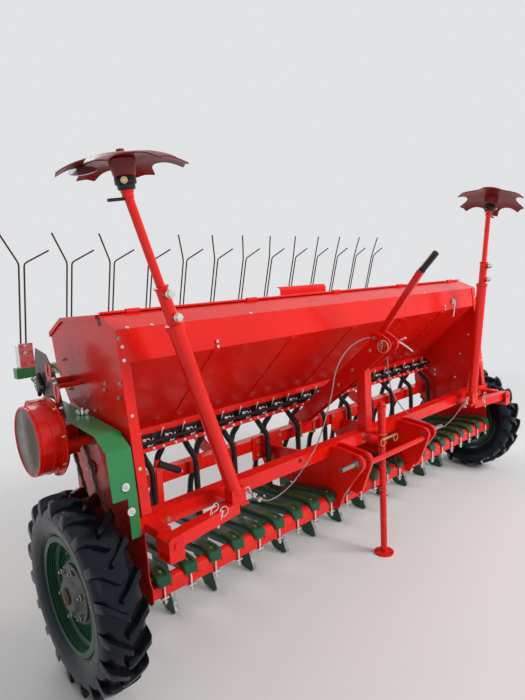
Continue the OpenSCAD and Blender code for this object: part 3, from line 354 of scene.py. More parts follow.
# %% [markdown]
# ## Sky and lamps
# The sky is weak for the light that it sheds and bright where the camera or a shiny surface looks
# at it, so the metal reflects a pale room while the paint keeps its depth. A large soft lamp from
# the right is the key, a weak one beside it leaves a gleam on gloss, and two more fill and rim.

# %% Sky and lamps
def studio_sky(shed, seen):
    """A world with one strength for the light it sheds and another where it is seen or reflected."""
    world = bpy.data.worlds.new("studio")
    world.use_nodes = True
    bpy.context.scene.world = world
    tree = world.node_tree
    tree.nodes.clear()
    ray = node(tree, "LightPath").outputs
    either = node(tree, "Math", {0: ray["Is Camera Ray"], 1: ray["Is Glossy Ray"]}, operation="MAXIMUM")
    also = node(tree, "Math", {0: either.outputs[0], 1: ray["Is Transmission Ray"]}, operation="MAXIMUM")
    weak, bright = [node(tree, "Background", {"Color": sky_tint, "Strength": strength}).outputs[0]
                    for strength in (shed, seen)]
    mix = node(tree, "MixShader", {0: also.outputs[0], 1: weak, 2: bright})
    node(tree, "OutputWorld", {0: mix.outputs[0]})


def lamp(name, at, aim, size, watts, mirrored=True):
    """A square lamp that looks from at to aim; mirrored says whether gloss shows it."""
    light = bpy.data.lights.new(name, "AREA")
    light.size = size
    light.energy = watts
    holder = bpy.data.objects.new(name, light)
    holder.location = at
    holder.visible_glossy = mirrored
    holder.rotation_euler = (Vector(aim) - Vector(at)).to_track_quat("-Z", "Y").to_euler()
    bpy.context.scene.collection.objects.link(holder)


studio_sky(sky_shed, sky_seen)
lamp("key", (2.4, -4.6, 4.2), (0, 0.3, 0.7), 3.0, 275, mirrored=False)
lamp("gleam", (2.4, -4.6, 4.2), (0, 0.3, 0.7), 3.0, 65)
lamp("fill", (-4.6, -3.2, 2.6), (-0.6, 0.3, 0.7), 2.5, 10)
lamp("back", (-1.0, 4.8, 4.4), (0, 0.4, 0.9), 3.0, 110)
bpy.context.scene.view_settings.view_transform = "Standard"
print("lamps", 4)

# %% [markdown]
# ## How a finish is made
# Fresh enamel on farm machinery is thick and glossy, with a faint orange-peel, and dust settles on
# whatever faces up. Edges catch the light because no pressed edge is truly sharp: a Bevel node
# rounds them in the shading alone, so the CAD meshes stay as they are.
# A finish is a short list of numbers: two colours to drift between, a gloss range, a fine bump,
# and how much dust lies on top.

# %% Finish maker
def noise(tree, scale, detail, rough=0.5):
    """Fractal noise on Object coordinates."""
    place = node(tree, "TexCoord")
    mapping = node(tree, "Mapping", {"Scale": (1, 1, 1), "Vector": place.outputs["Object"]})
    return node(tree, "TexNoise", {"Scale": scale, "Detail": detail, "Roughness": rough,
                                   "Vector": mapping.outputs["Vector"]}).outputs["Fac"]


def ranged(tree, value, low, high, to_low, to_high):
    """Takes low..high to to_low..to_high, and holds the ends."""
    return node(tree, "MapRange", {"From Min": low, "From Max": high, "To Min": to_low, "To Max": to_high,
                                   "Value": value}).outputs["Result"]


def blended(tree, amount, a, b):
    """A mix of a colour, or of another node's colour, with a second colour."""
    a = (*a, 1) if isinstance(a, tuple) else a
    return node(tree, "Mix", {"Factor": amount, 6: a, 7: (*b, 1)}, data_type="RGBA").outputs[2]


def facing_up(tree):
    """How much a surface faces the sky: the upward part of its normal."""
    shape = node(tree, "NewGeometry")
    return node(tree, "SeparateXYZ", {0: shape.outputs["Normal"]}).outputs["Z"]


def finish(name, colour, second, gloss, dust, metal=0.0, coat=0.0, peel=(260, 0.00015), wave=None,
           dust_colour=(0.30, 0.25, 0.20), edge=0.0015, patch=4.0, level=0.5):
    """A finish that drifts between two colours, has a fine bump, and gathers dust on top. peel and
    wave are (noise scale, height in metres); edge is the radius that the corners are shaded with."""
    material = bpy.data.materials.new(name)
    material.use_nodes = True
    tree = material.node_tree
    tone = ranged(tree, noise(tree, patch, 4), 0.35, 0.65, 0, 1)
    base = blended(tree, tone, colour, second)
    rough = ranged(tree, noise(tree, patch * 3, 5), 0.3, 0.7, *gloss)
    lying = ranged(tree, facing_up(tree), 0.25, 1.0, 0, 1)
    cloud = ranged(tree, noise(tree, 9, 6, rough=0.65), 0.35, 0.7, 0.15 * dust, dust)
    settled = node(tree, "Math", {0: lying, 1: cloud}, operation="MULTIPLY").outputs[0]
    base = blended(tree, settled, base, dust_colour)
    rough = node(tree, "Math", {0: settled, 1: 0.9, 2: rough}, operation="MULTIPLY_ADD").outputs[0]
    normal = node(tree, "Bevel", {"Radius": edge}, samples=4).outputs[0] if edge else None
    for scale, height in filter(None, (wave, peel)):
        inputs = {"Strength": 1.0, "Distance": height, "Height": noise(tree, scale, 2)}
        normal = node(tree, "Bump", {**inputs, "Normal": normal} if normal else inputs).outputs[0]
    feed(tree, tree.nodes["Principled BSDF"], {
        "Base Color": base, "Roughness": rough, "Metallic": metal, "Coat Weight": coat,
        "Coat Roughness": 0.06, "Specular IOR Level": level, "Normal": normal})
    return material


print("finishes can be made")

# %% [markdown]
# ## Paints and metals
# The machine has few materials: one red and three green enamels, black plastic and rubber, bright
# and brassy zinc, bare or rusty steel, and cast iron under dust. The colours are judged from the
# photograph, as the paint would look in even light, save where light and shade are painted in: the
# darker red of the discs, the darker green of the rims and the darker grey of the hubs are painted
# shade; the grey-brown of the drum cover and the scale plate and the blue tint of the tyres are
# painted reflections; and the pale plating of the metering fittings paints their glints.

# %% Paints and metals
enamel = {"coat": 0.15, "level": 0.28, "dust": 0.03}
plating = {"peel": (700, 0.00005), "edge": 0.0006}
red_enamel = finish("red_enamel", (0.80, 0.011, 0.005), (0.71, 0.008, 0.004), gloss=(0.18, 0.32), **enamel)
hopper_red = finish("hopper_red", (0.80, 0.011, 0.005), (0.72, 0.008, 0.004), gloss=(0.18, 0.30),
                    wave=(3.2, 0.006), **enamel)
# The discs, their cones and their caps are a darker red than the enamel: this darkening is painted shade.
disc_red_painted_shade = finish("disc_red_painted_shade", (0.22, 0.010, 0.007), (0.13, 0.008, 0.006), coat=0.1, gloss=(0.28, 0.5),
                  level=0.35, peel=(90, 0.0004), dust=0.07)
guard_green = finish("guard_green", (0.030, 0.245, 0.078), (0.025, 0.205, 0.066), gloss=(0.22, 0.36),
                     wave=(5, 0.003), **enamel)
arm_green = finish("arm_green", (0.006, 0.078, 0.030), (0.005, 0.056, 0.023), coat=0.2, gloss=(0.22, 0.4),
                   level=0.28, dust=0.04)
# The rims and their ridges are a darker green than the arms: this darkening is painted shade.
rim_green_painted_shade = finish("rim_green_painted_shade", (0.004, 0.058, 0.022), (0.003, 0.040, 0.016), coat=0.15,
                   gloss=(0.25, 0.42), level=0.3, dust=0.05)
metering_black = finish("metering_black", (0.006, 0.006, 0.0065), (0.012, 0.012, 0.0125),
                        gloss=(0.26, 0.45), level=0.4, peel=(400, 0.0002), dust=0.04, edge=0.001)
tube_black = finish("tube_black", (0.007, 0.007, 0.008), (0.014, 0.014, 0.015), gloss=(0.32, 0.5),
                    level=0.4, peel=(300, 0.0002), dust=0.06, edge=0.0)
tine_black = finish("tine_black", (0.006, 0.006, 0.0065), (0.011, 0.011, 0.011), gloss=(0.25, 0.42),
                    peel=(500, 0.0001), dust=0.03, edge=0.0)
zinc = finish("zinc", (0.86, 0.86, 0.84), (0.66, 0.66, 0.65), metal=1.0, gloss=(0.22, 0.42),
              dust=0.04, patch=25, **plating)
# A pale plating that is only part metal: its own colour shows bright on the metering fittings as painted
# glints.
painted_glint_plating = finish("painted_glint_plating", (0.88, 0.88, 0.90), (0.78, 0.78, 0.80), metal=0.35,
                        gloss=(0.16, 0.30), dust=0.02, patch=25, **plating)
brass_zinc = finish("brass_zinc", (0.62, 0.44, 0.18), (0.66, 0.54, 0.30), metal=1.0, gloss=(0.25, 0.45),
                    dust=0.05, patch=30, **plating)
pin_steel = finish("pin_steel", (0.42, 0.40, 0.37), (0.30, 0.28, 0.26), metal=1.0, gloss=(0.30, 0.5),
                   peel=(160, 0.0002), dust=0.08, edge=0.001, patch=20)
dark_steel = finish("dark_steel", (0.14, 0.13, 0.13), (0.09, 0.085, 0.085), metal=0.9,
                    gloss=(0.28, 0.45), peel=(260, 0.0001), dust=0.05, edge=0.0006, patch=14)
# The scale plate's grey-brown is a painted reflection of bright light on glossy red paint; the dust on top is
# real dust.
scale_grey_dust_and_painted_reflection = finish("scale_grey_dust_and_painted_reflection", (0.075, 0.060, 0.048), (0.11, 0.09, 0.07), metal=0.3,
                    gloss=(0.25, 0.45), peel=(500, 0.0001), level=0.3, dust=0.08, edge=0.0008, patch=9)
pale_steel_and_painted_highlight = finish("pale_steel_and_painted_highlight", (0.72, 0.72, 0.74), (0.80, 0.80, 0.82), metal=0.85,
                     gloss=(0.25, 0.45), peel=(120, 0.0003), dust=0.08, edge=0.0008, patch=14)
point_steel = finish("point_steel", (0.62, 0.62, 0.64), (0.26, 0.25, 0.25), metal=0.8,
                     gloss=(0.25, 0.5), peel=(120, 0.0003), dust=0.05, edge=0.0008, patch=45)
# The drum cover's grey-brown is a painted reflection of bright light on glossy red paint; the dust on top is
# real dust.
cover_grey_dust_and_painted_reflection = finish("cover_grey_dust_and_painted_reflection", (0.15, 0.12, 0.095), (0.075, 0.058, 0.045), metal=0.4,
                    gloss=(0.22, 0.42), peel=(300, 0.0001), level=0.3, dust=0.10, edge=0.0008, patch=7)
# The hub flange's dark grey is painted shade; the heavy dust on its top is real dust.
hub_grey_dust_and_painted_shade = finish("hub_grey_dust_and_painted_shade", (0.13, 0.13, 0.125), (0.07, 0.07, 0.068), metal=0.3, gloss=(0.4, 0.6),
                  peel=(120, 0.0006), dust=0.25, edge=0.001, patch=12)
rust_brown = finish("rust_brown", (0.075, 0.036, 0.022), (0.05, 0.028, 0.020), metal=0.2,
                    gloss=(0.5, 0.7), peel=(140, 0.0006), dust=0.1, edge=0.001, patch=30)
chain_steel = finish("chain_steel", (0.20, 0.19, 0.18), (0.12, 0.11, 0.10), metal=0.9, gloss=(0.3, 0.5),
                     peel=(300, 0.0002), dust=0.05, edge=0.0006, patch=30)
# The faint blue in the tyre's black and the blue tint of its reflections, set below, are a painted reflection
# of sky light.
tyre_rubber = finish("tyre_rubber", (0.0035, 0.004, 0.0055), (0.006, 0.0065, 0.008), coat=0.2,
                     gloss=(0.22, 0.36), peel=(220, 0.0003), level=0.2, dust=0.02,
                     dust_colour=(0.10, 0.09, 0.08), edge=0.003, patch=6)
tyre_rubber.node_tree.nodes["Principled BSDF"].inputs["Specular Tint"].default_value = (0.45, 0.68, 1.0, 1)
print("finishes", len(bpy.data.materials))

# %% [markdown]
# ## Dressing the solids
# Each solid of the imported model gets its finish. Painted parts were sprayed before assembly, so
# one part has one colour, and what was bolted on afterwards stays bright.

# %% Dress the solids
dressing = {
    red_enamel: "front_beam rear_beam side_plate_left side_plate_right coulter_bar link_brackets link_tie "
                "tower marker_lever stand_sleeve metering_rail gearbox pressure_crank marker_brackets "
                "harrow_brackets axles stand_leg marker_left marker_right",
    hopper_red: "hopper hopper_ribs lid",
    disc_red_painted_shade: "marker_disc_left marker_disc_right",
    guard_green: "drive_guard harrow_frame",
    arm_green: "short_arms long_arms coulters",
    rim_green_painted_shade: "rim_left rim_right",
    metering_black: "metering_housings metering_shaft",
    tube_black: "seed_tubes",
    tine_black: "harrow_tines",
    zinc: "arm_clamps top_link_pin cable_left cable_right",
    brass_zinc: "u_bolts",
    pin_steel: "link_pins",
    scale_grey_dust_and_painted_reflection: "scale_plate",
    chain_steel: "drive_chain",
    tyre_rubber: "tyre_left tyre_right",
}
for material, names in dressing.items():
    for name in names.split():
        if not nodes[name].material_slots:
            nodes[name].data.materials.append(material)
        for material_slot in nodes[name].material_slots:
            material_slot.material = material
print("dressed", sum(len(v.split()) for v in dressing.values()), "of", len(nodes), "nodes")

# %% [markdown]
# ## The lifting cables
# Two thin steel cables run from the lever head down to lugs on the markers' foot blocks. A cable
# is a fixed length of wire rope that sags between its ends, so its route is a list of points in
# the air with a smooth line through them. The strands are a lobed section that turns as it goes.

# %% Cables
def strand_rope(path, radius, lay=55, lobes=6):
    """A rope along a path: the section's radius is r (1 - 0.09 + 0.09 cos(lobes (a - turn))), and
    turn grows with the length run."""
    run = length_run(path)
    path, across, side = frames_along(path)
    a = np.linspace(0, 2 * np.pi, 18, endpoint=False)
    r = radius * (0.91 + 0.09 * np.cos(lobes * (a[None, :] - 2 * np.pi * run[:, None] / lay)))
    return skin(path + (r * np.cos(a))[..., None] * across + (r * np.sin(a))[..., None] * side)


cable_routes = {
    "left": [(-48, 8, 1150), (-110, -12, 1160), (-200, -24, 1158), (-300, -28, 1126), (-380, -29, 1050),
             (-430, -30, 920), (-515, -32, 760), (-635, -36, 655), (-735, -40, 605), (-830, -40, 590),
             (-885, -26, 612), (-915, -2, 647)],
    "right": [(48, 8, 1150), (66, 8, 1060), (84, 12, 950), (120, 14, 845), (242, 14, 712), (393, 10, 628),
              (585, 2, 545), (709, -2, 560), (820, -4, 610), (914, -1, 648)],
}
cable_material = finish("cable_steel", (0.36, 0.36, 0.36), (0.24, 0.24, 0.24), metal=0.9, gloss=(0.3, 0.45),
                        peel=(900, 0.0001), dust=0.04, edge=0.0, patch=40)
for word, points in cable_routes.items():
    line = smooth_path(points, 14)
    rope = add_piece(f"cable_rope_{word}", strand_rope(line, 3.0), cable_material)
    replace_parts(rope, f"cable_{word}")
    line = line * mm

# %% [markdown]
# ## Tyres
# The tyres are small tractor tyres with long curved lugs that lean forwards from the middle and
# run down over the shoulder. The carcass is one profile turned round the axle. A lug is a table of
# stations across the tread, each with how far round it sits, how high it stands and how wide it
# is, and a rounded section is carried through them. The two rows are half a pitch apart.

# %% Tyres
wheel_at = np.array([1490, 288, 367.5])
tyre_r, tread_r, bead_r = 367.5, 341.5, 203.0
lug_count = 19


def turned_about_x(profile, sides):
    """A profile of (x, radius) turned round the X axis: y = r sin a, z = r cos a."""
    x, r = np.array(profile, float).T
    a = np.linspace(0, 2 * np.pi, sides, endpoint=False)
    grid = np.stack([x[:, None] + 0 * a, r[:, None] * np.sin(a), r[:, None] * np.cos(a)], -1)
    points, faces = skin(grid, closed=True)
    return points, [f[::-1] for f in faces]


def ring_step(r, radius, wide, high):
    """A moulded ring on the sidewall, high at one radius: it swells as exp(-((r - radius) / wide)^2)."""
    return high * np.exp(-(((r - radius) / wide) ** 2))


half_wall = [(0, tread_r), (22, tread_r - 0.5), (44, tread_r - 3), (60, tread_r - 9), (72, tread_r - 18),
             (79, tread_r - 30), (82, tread_r - 46), (82.5, bead_r + 84), (80, bead_r + 62), (74, bead_r + 42),
             (67, bead_r + 29), (60, bead_r + 21), (57, bead_r + 17), (56, bead_r + 6), (52, bead_r + 2)]
wall_line = smooth_path(half_wall, 4)
wall_r = wall_line[:, 1]
wall_line[:, 0] += ring_step(wall_r, bead_r + 33, 2.0, 1.5) + ring_step(wall_r, bead_r + 92, 2.2, 1.0)
carcass = turned_about_x(np.vstack([wall_line, wall_line[::-1][:-1] * [-1, 1]])[:-1], 120)
print("carcass points", len(carcass[0]))

# %% [markdown]
# ## Tread lugs
# A lug's stations are (across the tread, degrees ahead, radius of its top, half its width). Its
# end at the middle of the tread is rounded off, and its foot sinks into the carcass.

# %% Lugs
lug_stations = smooth_path([(-10, -6.5, tyre_r - 1, 12), (-7, -6.2, tyre_r - 1, 12),
                            (-2, -5.7, tyre_r - 0.5, 12), (8, -4.6, tyre_r, 12), (28, -1.9, tyre_r, 12.5),
                            (48, 1.2, tyre_r - 1, 13), (66, 3.4, tyre_r - 4, 14.5),
                            (76, 4.4, tyre_r - 11, 15.5), (81.6, 5.0, tread_r - 14, 16),
                            (82.2, 5.4, tread_r - 40, 15)], 3)
shoulder, widest = wall_line[:26], 82.4
root_line = np.interp(np.clip(lug_stations[:, 0], 0, widest), *shoulder.T) - 7
root_line = np.minimum(root_line, lug_stations[:, 2] - 12)[:, None]
lug_section = np.array([(-1.16, 0.0), (-1.06, 0.45), (-1.0, 0.88), (-0.84, 1.0), (0, 1.0), (0.84, 1.0),
                        (1.0, 0.88), (1.06, 0.45), (1.16, 0.0)])


def lug():
    """One lug: at each station the section's width is measured round the wheel and its height from
    the root up to the tip; the first stations shrink on a quarter circle."""
    x, ahead, high, half = lug_stations.T[..., None]
    u, v = lug_section.T
    near = np.clip((x - x[0]) / 13.0, 0, 1)
    taper = np.maximum(np.sqrt(1 - (1 - near) ** 2), 0.30)
    radius = root_line + (high - root_line) * v * (0.62 + 0.38 * taper)
    angle = np.radians(ahead) + half * taper * u / high
    return skin(np.stack([x + 0 * radius, radius * np.sin(angle), radius * np.cos(angle)], -1))


def about_x(angles):
    """The turns about the X axis, one for each angle in degrees."""
    c, s = np.cos(np.radians(angles)), np.sin(np.radians(angles))
    o, z = np.ones_like(c), np.zeros_like(c)
    return np.stack([o, z, z, z, c, -s, z, s, c], -1).reshape(-1, 3, 3)


turn_of = np.arange(lug_count) * 360 / lug_count
half_pitch = 180 / lug_count
none = np.zeros((lug_count, 3))
whole_tyre = joined(carcass, copies(lug(), none, about_x(-turn_of)),
                    copies(flipped(lug()), none, about_x(-(turn_of + half_pitch))))
for side, word in both_sides:
    shape = moved(outwards(whole_tyre, side), wheel_at * [side, 1, 1])
    piece = add_piece(f"lugged_tyre_{word}", shape, tyre_rubber, f"wheel_{word}", smooth=32)
    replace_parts(piece, f"tyre_{word}")
print("tyre points", len(whole_tyre[0]))

# %% [markdown]
# ## Coulter arms
# Each coulter hangs on a pressed green arm that hooks over the square bar. The real one is bent
# from sheet: its nose is rounded, its sides fold down, and a shallow pocket round the bolt
# stiffens it. A fold line over the bar and down to the boot is the path, a channel with soft
# corners is the section, and the pocket and a rib are pressed into it.

# %% Arms
row_pitch, row_count = 117, 23
row_x = (np.arange(row_count) - 11) * row_pitch
front_boot_y, rear_boot_y = 488.0, 738.0
boot_y = np.where(np.arange(row_count) % 2 == 0, front_boot_y, rear_boot_y)
arm_u = np.array([-28, -28, -27.4, -25.6, -23, -17, -15.5, -14, 0, 14, 15.5, 17, 23, 25.6, 27.4, 28, 28])
arm_drop = np.array([-30, -5, -2.4, -0.7, 0, 0, 0, 0, 0, 0, 0, 0, 0, -0.7, -2.4, -5, -30.0])


def pressed_arm(reach):
    """A channel carried along a fold line in the YZ plane: across the arm the height falls with a
    rounded shoulder to a skirt that deepens towards the boot. A pocket 4 mm deep is let in behind
    the nose, and a rib 3 mm high stands on the slope. The slope's points are evenly spaced."""
    slope = np.linspace((160, 430), (reach - 190, 409), round((reach - 350) / 55) + 1)
    fold = smooth_path([(46, 391), (45, 404), (48, 416), (56, 426), (74, 431.5), (98, 433.5), (125, 433.5),
                        *slope, (reach - 130, 392), (reach - 70, 362), (reach - 25, 337)], 5)
    y, z = fold.T[..., None]
    d = np.gradient(fold, axis=0)
    d /= np.linalg.norm(d, axis=1)[:, None]
    run = length_run(fold)
    end = run[-1]
    skirt = np.interp(run, [0, 12, 30, 60, end - 60, end], [5, 6, 20, 34, 40, 26])[:, None]
    pocket = np.exp(-(((run - 62) / 26) ** 6))[:, None] * (np.abs(arm_u) < 15)
    rib = np.exp(-(((run - end * 0.62) / (end * 0.16)) ** 6))[:, None] * np.exp(-((arm_u / 9) ** 4))
    depth = np.where(np.abs(arm_drop) > 6, -skirt, arm_drop) - 4.0 * pocket + 3.0 * rib
    nose = np.interp(run, [0, 8, 26], [0.74, 0.90, 1.0])[:, None]
    points = np.stack([arm_u * nose, y - d[:, 1:] * depth, z + d[:, :1] * depth], -1)
    faces = grid_faces(len(fold), len(arm_u), wrap_columns=False)
    return points.reshape(-1, 3), [f[::-1] for f in faces]


def thicken(piece, thick):
    """A wall grown inwards from a surface, as bent sheet has."""
    wall = piece.modifiers.new("sheet", "SOLIDIFY")
    wall.thickness = thick
    wall.offset = -1
    wall.use_even_offset = True


for length_word, rows, reach in (("short", row_x[0::2], front_boot_y), ("long", row_x[1::2], rear_boot_y)):
    places = np.column_stack([rows, 0 * rows, 0 * rows])
    arms = copies(pressed_arm(reach), places)
    piece = add_piece(f"pressed_arms_{length_word}", arms, arm_green, smooth=50)
    thicken(piece, 0.004)
    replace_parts(piece, f"{length_word}_arms")
print("arms", row_count)

# %% [markdown]
# ## Fasteners
# A bolt head is a hexagon with its corners turned down, over a washer. The same few shapes are
# copied to every place where the real machine is bolted, so one helper makes a set of bolts that
# all point the same way. A wing nut is a small hub with two bent ears.

# %% Fastener shapes
def bolt_head(across, tall, washer=True, stud=0):
    """A hexagon head that stands on z = 0: slab of a hexagon, with a washer below and, for a nut, the
    end of its stud above."""
    parts = []
    low = 0
    if washer:
        parts.append(lathe([(across * 0.78, 0), (across * 0.80, 0.4), (across * 0.78, 1.6)], 20))
        low = 1.6
    parts.append(moved(slab(ring_section(across * 0.577, 6), tall, across * 0.06), [0, 0, low]))
    if stud:
        r = across * 0.31
        parts.append(lathe([(r, low + tall - 1), (r, low + tall + stud - 1), (r * 0.8, low + tall + stud)], 14))
    return joined(*parts)


def wing_nut(size):
    """A tapered hub with two ears: each ear is a rounded plate leaned outwards by 28 degrees."""
    hub = lathe([(size * 0.55, 0), (size * 0.5, size * 0.7), (size * 0.38, size)], 16)
    ear, faces = slab(rounded(size * 0.85, size * 1.25, size * 0.36), size * 0.22, size * 0.07)
    ear = (ear - [0, 0, size * 0.11])[:, [0, 2, 1]] + [size * 0.62, 0, size * 0.95]
    c, s = np.cos(np.radians(28)), np.sin(np.radians(28))
    right = (ear @ np.array([[c, 0, -s], [0, 1, 0], [s, 0, c]]), [f[::-1] for f in faces])
    stud = lathe([(size * 0.26, 0), (size * 0.26, size * 1.5), (size * 0.2, size * 1.6)], 12)
    return joined(hub, right, flipped(right), stud)


def fasten(name, shape, places, facing, material, body="frame", up=(0, 0, 1)):
    """A set of one fastener, all facing one way."""
    return add_piece(name, copies(shape, places, axes_to(facing, up)), material, body)


def across_rows(rows, y, z, shift=0.0):
    """One place for each row."""
    return np.column_stack([rows + shift, np.full(len(rows), float(y)), np.full(len(rows), float(z))])


to_left, to_right, to_front, downwards = (-1, 0, 0), (1, 0, 0), (0, -1, 0), (0, 0, -1)
fasten("arm_nose_bolts", bolt_head(13, 6), across_rows(row_x, 78, 428.4), (0, -0.03, 1), brass_zinc)
fasten("arm_nose_nuts", bolt_head(13, 7, stud=6), across_rows(row_x, 52, 331), downwards, zinc)
fasten("arm_heel_nuts", bolt_head(13, 7, stud=6), across_rows(row_x, 109, 331), downwards, zinc)
print("arm fasteners", 3 * row_count)

# %% [markdown]
# ## Seed tubes
# Under each metering box hangs a ribbed rubber tube that bends round the rear beam and drops into
# its coulter's boot. The ribs are the tube's radius going up and down with the length run, and a
# funnel at the top and a sleeve at the bottom finish it.

# %% Seed tubes
front_bend = [(580, 738), (572, 712), (536, 676), (500, 648), (489, 600), (487, 520), (488, 440), (488, 346)]
rear_bend = [(580, 738), (584, 712), (606, 680), (632, 650), (648, 612), (680, 520), (722, 430), (738, 346)]
rib_pitch = 9.0


def ribbed_tube(x, bend):
    """A tube whose radius is 14.3 + 1.7 cos(2 pi run / rib pitch), on a smooth bend from the metering
    box past the rear beam to the boot. It is drawn at twice as many rings as it has ribs."""
    line = smooth_path([(x, y, z) for y, z in bend], 17)
    run = length_run(line)
    even = np.arange(0, run[-1], rib_pitch / 2)
    line = np.column_stack([np.interp(even, run, line[:, k]) for k in range(3)])
    radius = 14.3 + 1.7 * np.cos(2 * np.pi * even / rib_pitch)
    radius = np.where(even < 34, 20.5 - even * 0.14, np.where(even > even[-1] - 26, 17.5, radius))
    return swept(line, ring_section(1.0, 14), scale=radius)


tubes = joined(*[ribbed_tube(x, rear_bend if n % 2 else front_bend) for n, x in enumerate(row_x)])
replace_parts(add_piece("ribbed_seed_tubes", tubes, tube_black, smooth=60), "seed_tubes")
tube_clip = swept(circle(17.6, 24), [(-2.5, -0.5), (2.5, -0.5), (2.5, 0.5), (-2.5, 0.5)], closed=True)
add_piece("tube_clips", copies(tube_clip, np.column_stack([row_x, boot_y, np.full(row_count, 356)])), zinc)
print("tube points", len(tubes[0]))

# %% [markdown]
# ## Metering row
# Seen from the front the metering row is a dark band that glitters: each of the twenty-three black
# boxes has a sliding shutter with a bent wire spring, a silver knob and ring, three small bolts, and
# a hook clip that holds the box to the hopper's lip. Each is modelled once and copied. The glitter is
# painted: these fittings are in a pale plating that is only part metal, so their own pale colour
# stands for the glints as painted highlights.

# %% Metering details
face_y, rail_y = 526.0, 523.0
towards_front = axes_to(to_front)
hook = bent_wire([(0, 0, -16), (0, -3, -6), (0, -7, 4), (1, -11, 14), (4, -12, 22), (9, -9, 27),
                  (13, -5, 24), (13, -3, 17)], 2.7)
spring = bent_wire([(-15, -2, 6), (-8, -5, 9), (0, -6, 5), (3, -6, -3), (9, -6, -7), (17, -4, -2),
                    (20, -1, 6)], 2.6)
knob = lathe([(10, 0), (11, 1.5), (11, 5.5), (9.5, 8), (6, 9.5), (5, 12.5), (3, 13.5)], 20)
ring = wire_ring(8.5, 2.3, wire_sides=8)
small_bolts = joined(*[copies(bolt_head(9, 5), across_rows(row_x, rail_y - 0.2, z, shift), towards_front)
                       for z, shift in ((752, 8), (733, -30), (733, 36))])
for name, shape in (("box_hooks", copies(hook, across_rows(row_x, face_y - 1, 794, -38))),
                    ("shutter_springs", copies(spring, across_rows(row_x, face_y - 8, 778, 12))),
                    ("shutter_knobs", copies(knob, across_rows(row_x, face_y, 778, -10), towards_front)),
                    ("shutter_rings", copies(ring, across_rows(row_x, face_y - 5, 757, 22), towards_front)),
                    ("box_bolts", small_bolts)):
    add_piece(name, shape, painted_glint_plating)


def plate_at(width, height, corner, thick, dx, dz):
    """A rounded plate that stands up facing the front, moved by (dx, dz): it grows towards -Y."""
    points, faces = slab(rounded(width, height, corner), thick, 0.6)
    return np.column_stack([points[:, 0] + dx, -points[:, 2], points[:, 1] + dz]), faces


shutter = joined(plate_at(34, 40, 4, 3, -10, 0), plate_at(26, 46, 3, 4.5, 24, -1),
                 plate_at(8, 52, 2, 6, -34, 0), plate_at(60, 5, 2, 6, 0, 22))
add_piece("shutter_plates", copies(shutter, across_rows(row_x, face_y, 770)), metering_black)
print("metering pieces", 6)

# %% [markdown]
# ## Harrow tines
# Behind the drill stands the folded harrow. Each double tine is one black spring wire: down from
# one bent tip, round a coil, under the clamp in a loop, round a second coil, and up to the other
# tip. It is drawn as one line with two helices in it, so the coils are real. A galvanised holder
# of folded sheet grips each pair on the green beam.

# %% Double tines
tine_x = (np.arange(13) - 6) * 224.0
tine_y, beam_front_y, beam_top = 1108.0, 1076.0, 1103.0
coil_z, coil_r, bend_z, bend_y = 1133.0, 18.0, 1594.0, -107.0


def tine_side(side, tip):
    """Half of a double tine: the loop under the clamp, a helix y = r cos a, z = r sin a that steps
    inwards as it turns, then the straight wire up to the bend and the tip."""
    a = np.linspace(-3.5 * np.pi, 0, 40)
    inwards = side * np.interp(a, [a[0], 0], [25, 12])
    helix = np.stack([inwards, coil_r * np.cos(a), coil_z + coil_r * np.sin(a)], -1)
    loop = smooth_path([(0, -23, coil_z - 15), (side * 12, -23, coil_z - 15), (side * 22, -19, coil_z - 16),
                        (side * 25, -9, coil_z - 18)], 4)
    foot, bend = helix[-1], np.array([side * 12, bend_y, bend_z])
    rise = [foot + (bend - foot) * t for t in (0.05, 0.3, 0.6, 0.9, 0.975)]
    end = bend + np.array(tip, float)
    turn = [bend + (rise[-1] - bend) * 0.3 + (end - bend) * 0.02, bend + (end - bend) * 0.10]
    return np.vstack([loop, helix, rise, turn, [bend + (end - bend) * 0.5], [end]])


wire_line = np.vstack([tine_side(-1, (-112, -136, 125))[::-1], tine_side(1, (118, 0, 58))[1:]])
places = across_rows(tine_x, tine_y, 0)
tines = copies(swept(wire_line, ring_section(4.0, 10)), places)
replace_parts(add_piece("spring_tines", tines, tine_black, "harrow", smooth=60), "harrow_tines")
holder = joined(box((-33, 33), (-32, -29), (beam_top, 1222)), box((-33, -30), (-29, 24), (beam_top, 1214)),
                box((30, 33), (-29, 24), (beam_top, 1214)), box((-30, 30), (-29, 24), (beam_top, beam_top + 4)))
add_piece("tine_holders", copies(holder, places), zinc, "harrow")
for name, z, size in (("holder_bolts", 1172, 17), ("holder_screws", 1208, 10)):
    at = across_rows(tine_x, beam_front_y - 0.3, z)
    fasten(name, bolt_head(size, size * 0.5), at, to_front, zinc, "harrow")
pad = box((-12, 12), (-14, 14), (coil_z + 19, coil_z + 30))
add_piece("holder_pads", copies(pad, places), metering_black, "harrow")
print("double tines", len(tine_x))

# %% [markdown]
# ## Coulter points
# The toe of each coulter is a hard steel point, worn bright where it cuts the ground. It is the
# strip along the shoe's front edge, riveted through its cheeks.

# %% Points
toe = [(-118, 14), (-104, -0.4), (-92, -0.4), (-72, 84), (-60, 118), (-72, 120), (-88, 92)]
toe_thick = 20
points, faces = slab(toe, toe_thick, 1.2)
toe_plate = (np.column_stack([points[:, 2] - toe_thick / 2, points[:, 0], points[:, 1]]), faces)
places = np.column_stack([row_x, boot_y, np.full(row_count, 0.5)])
add_piece("coulter_points", copies(toe_plate, places), point_steel)
rivet = lathe([(5.5, 0), (5.2, 1.4), (3.2, 2.6), (0.6, 3.0)], 14)
rivet_places = np.vstack([places + [13.1 * side, -40, 89.5] for side in (-1, 1)])
turns = np.stack([axes_to((side, 0, 0)) for side in (-1, 1) for _ in row_x])
add_piece("point_rivets", copies(rivet, rivet_places, turns), zinc)
print("points", row_count)

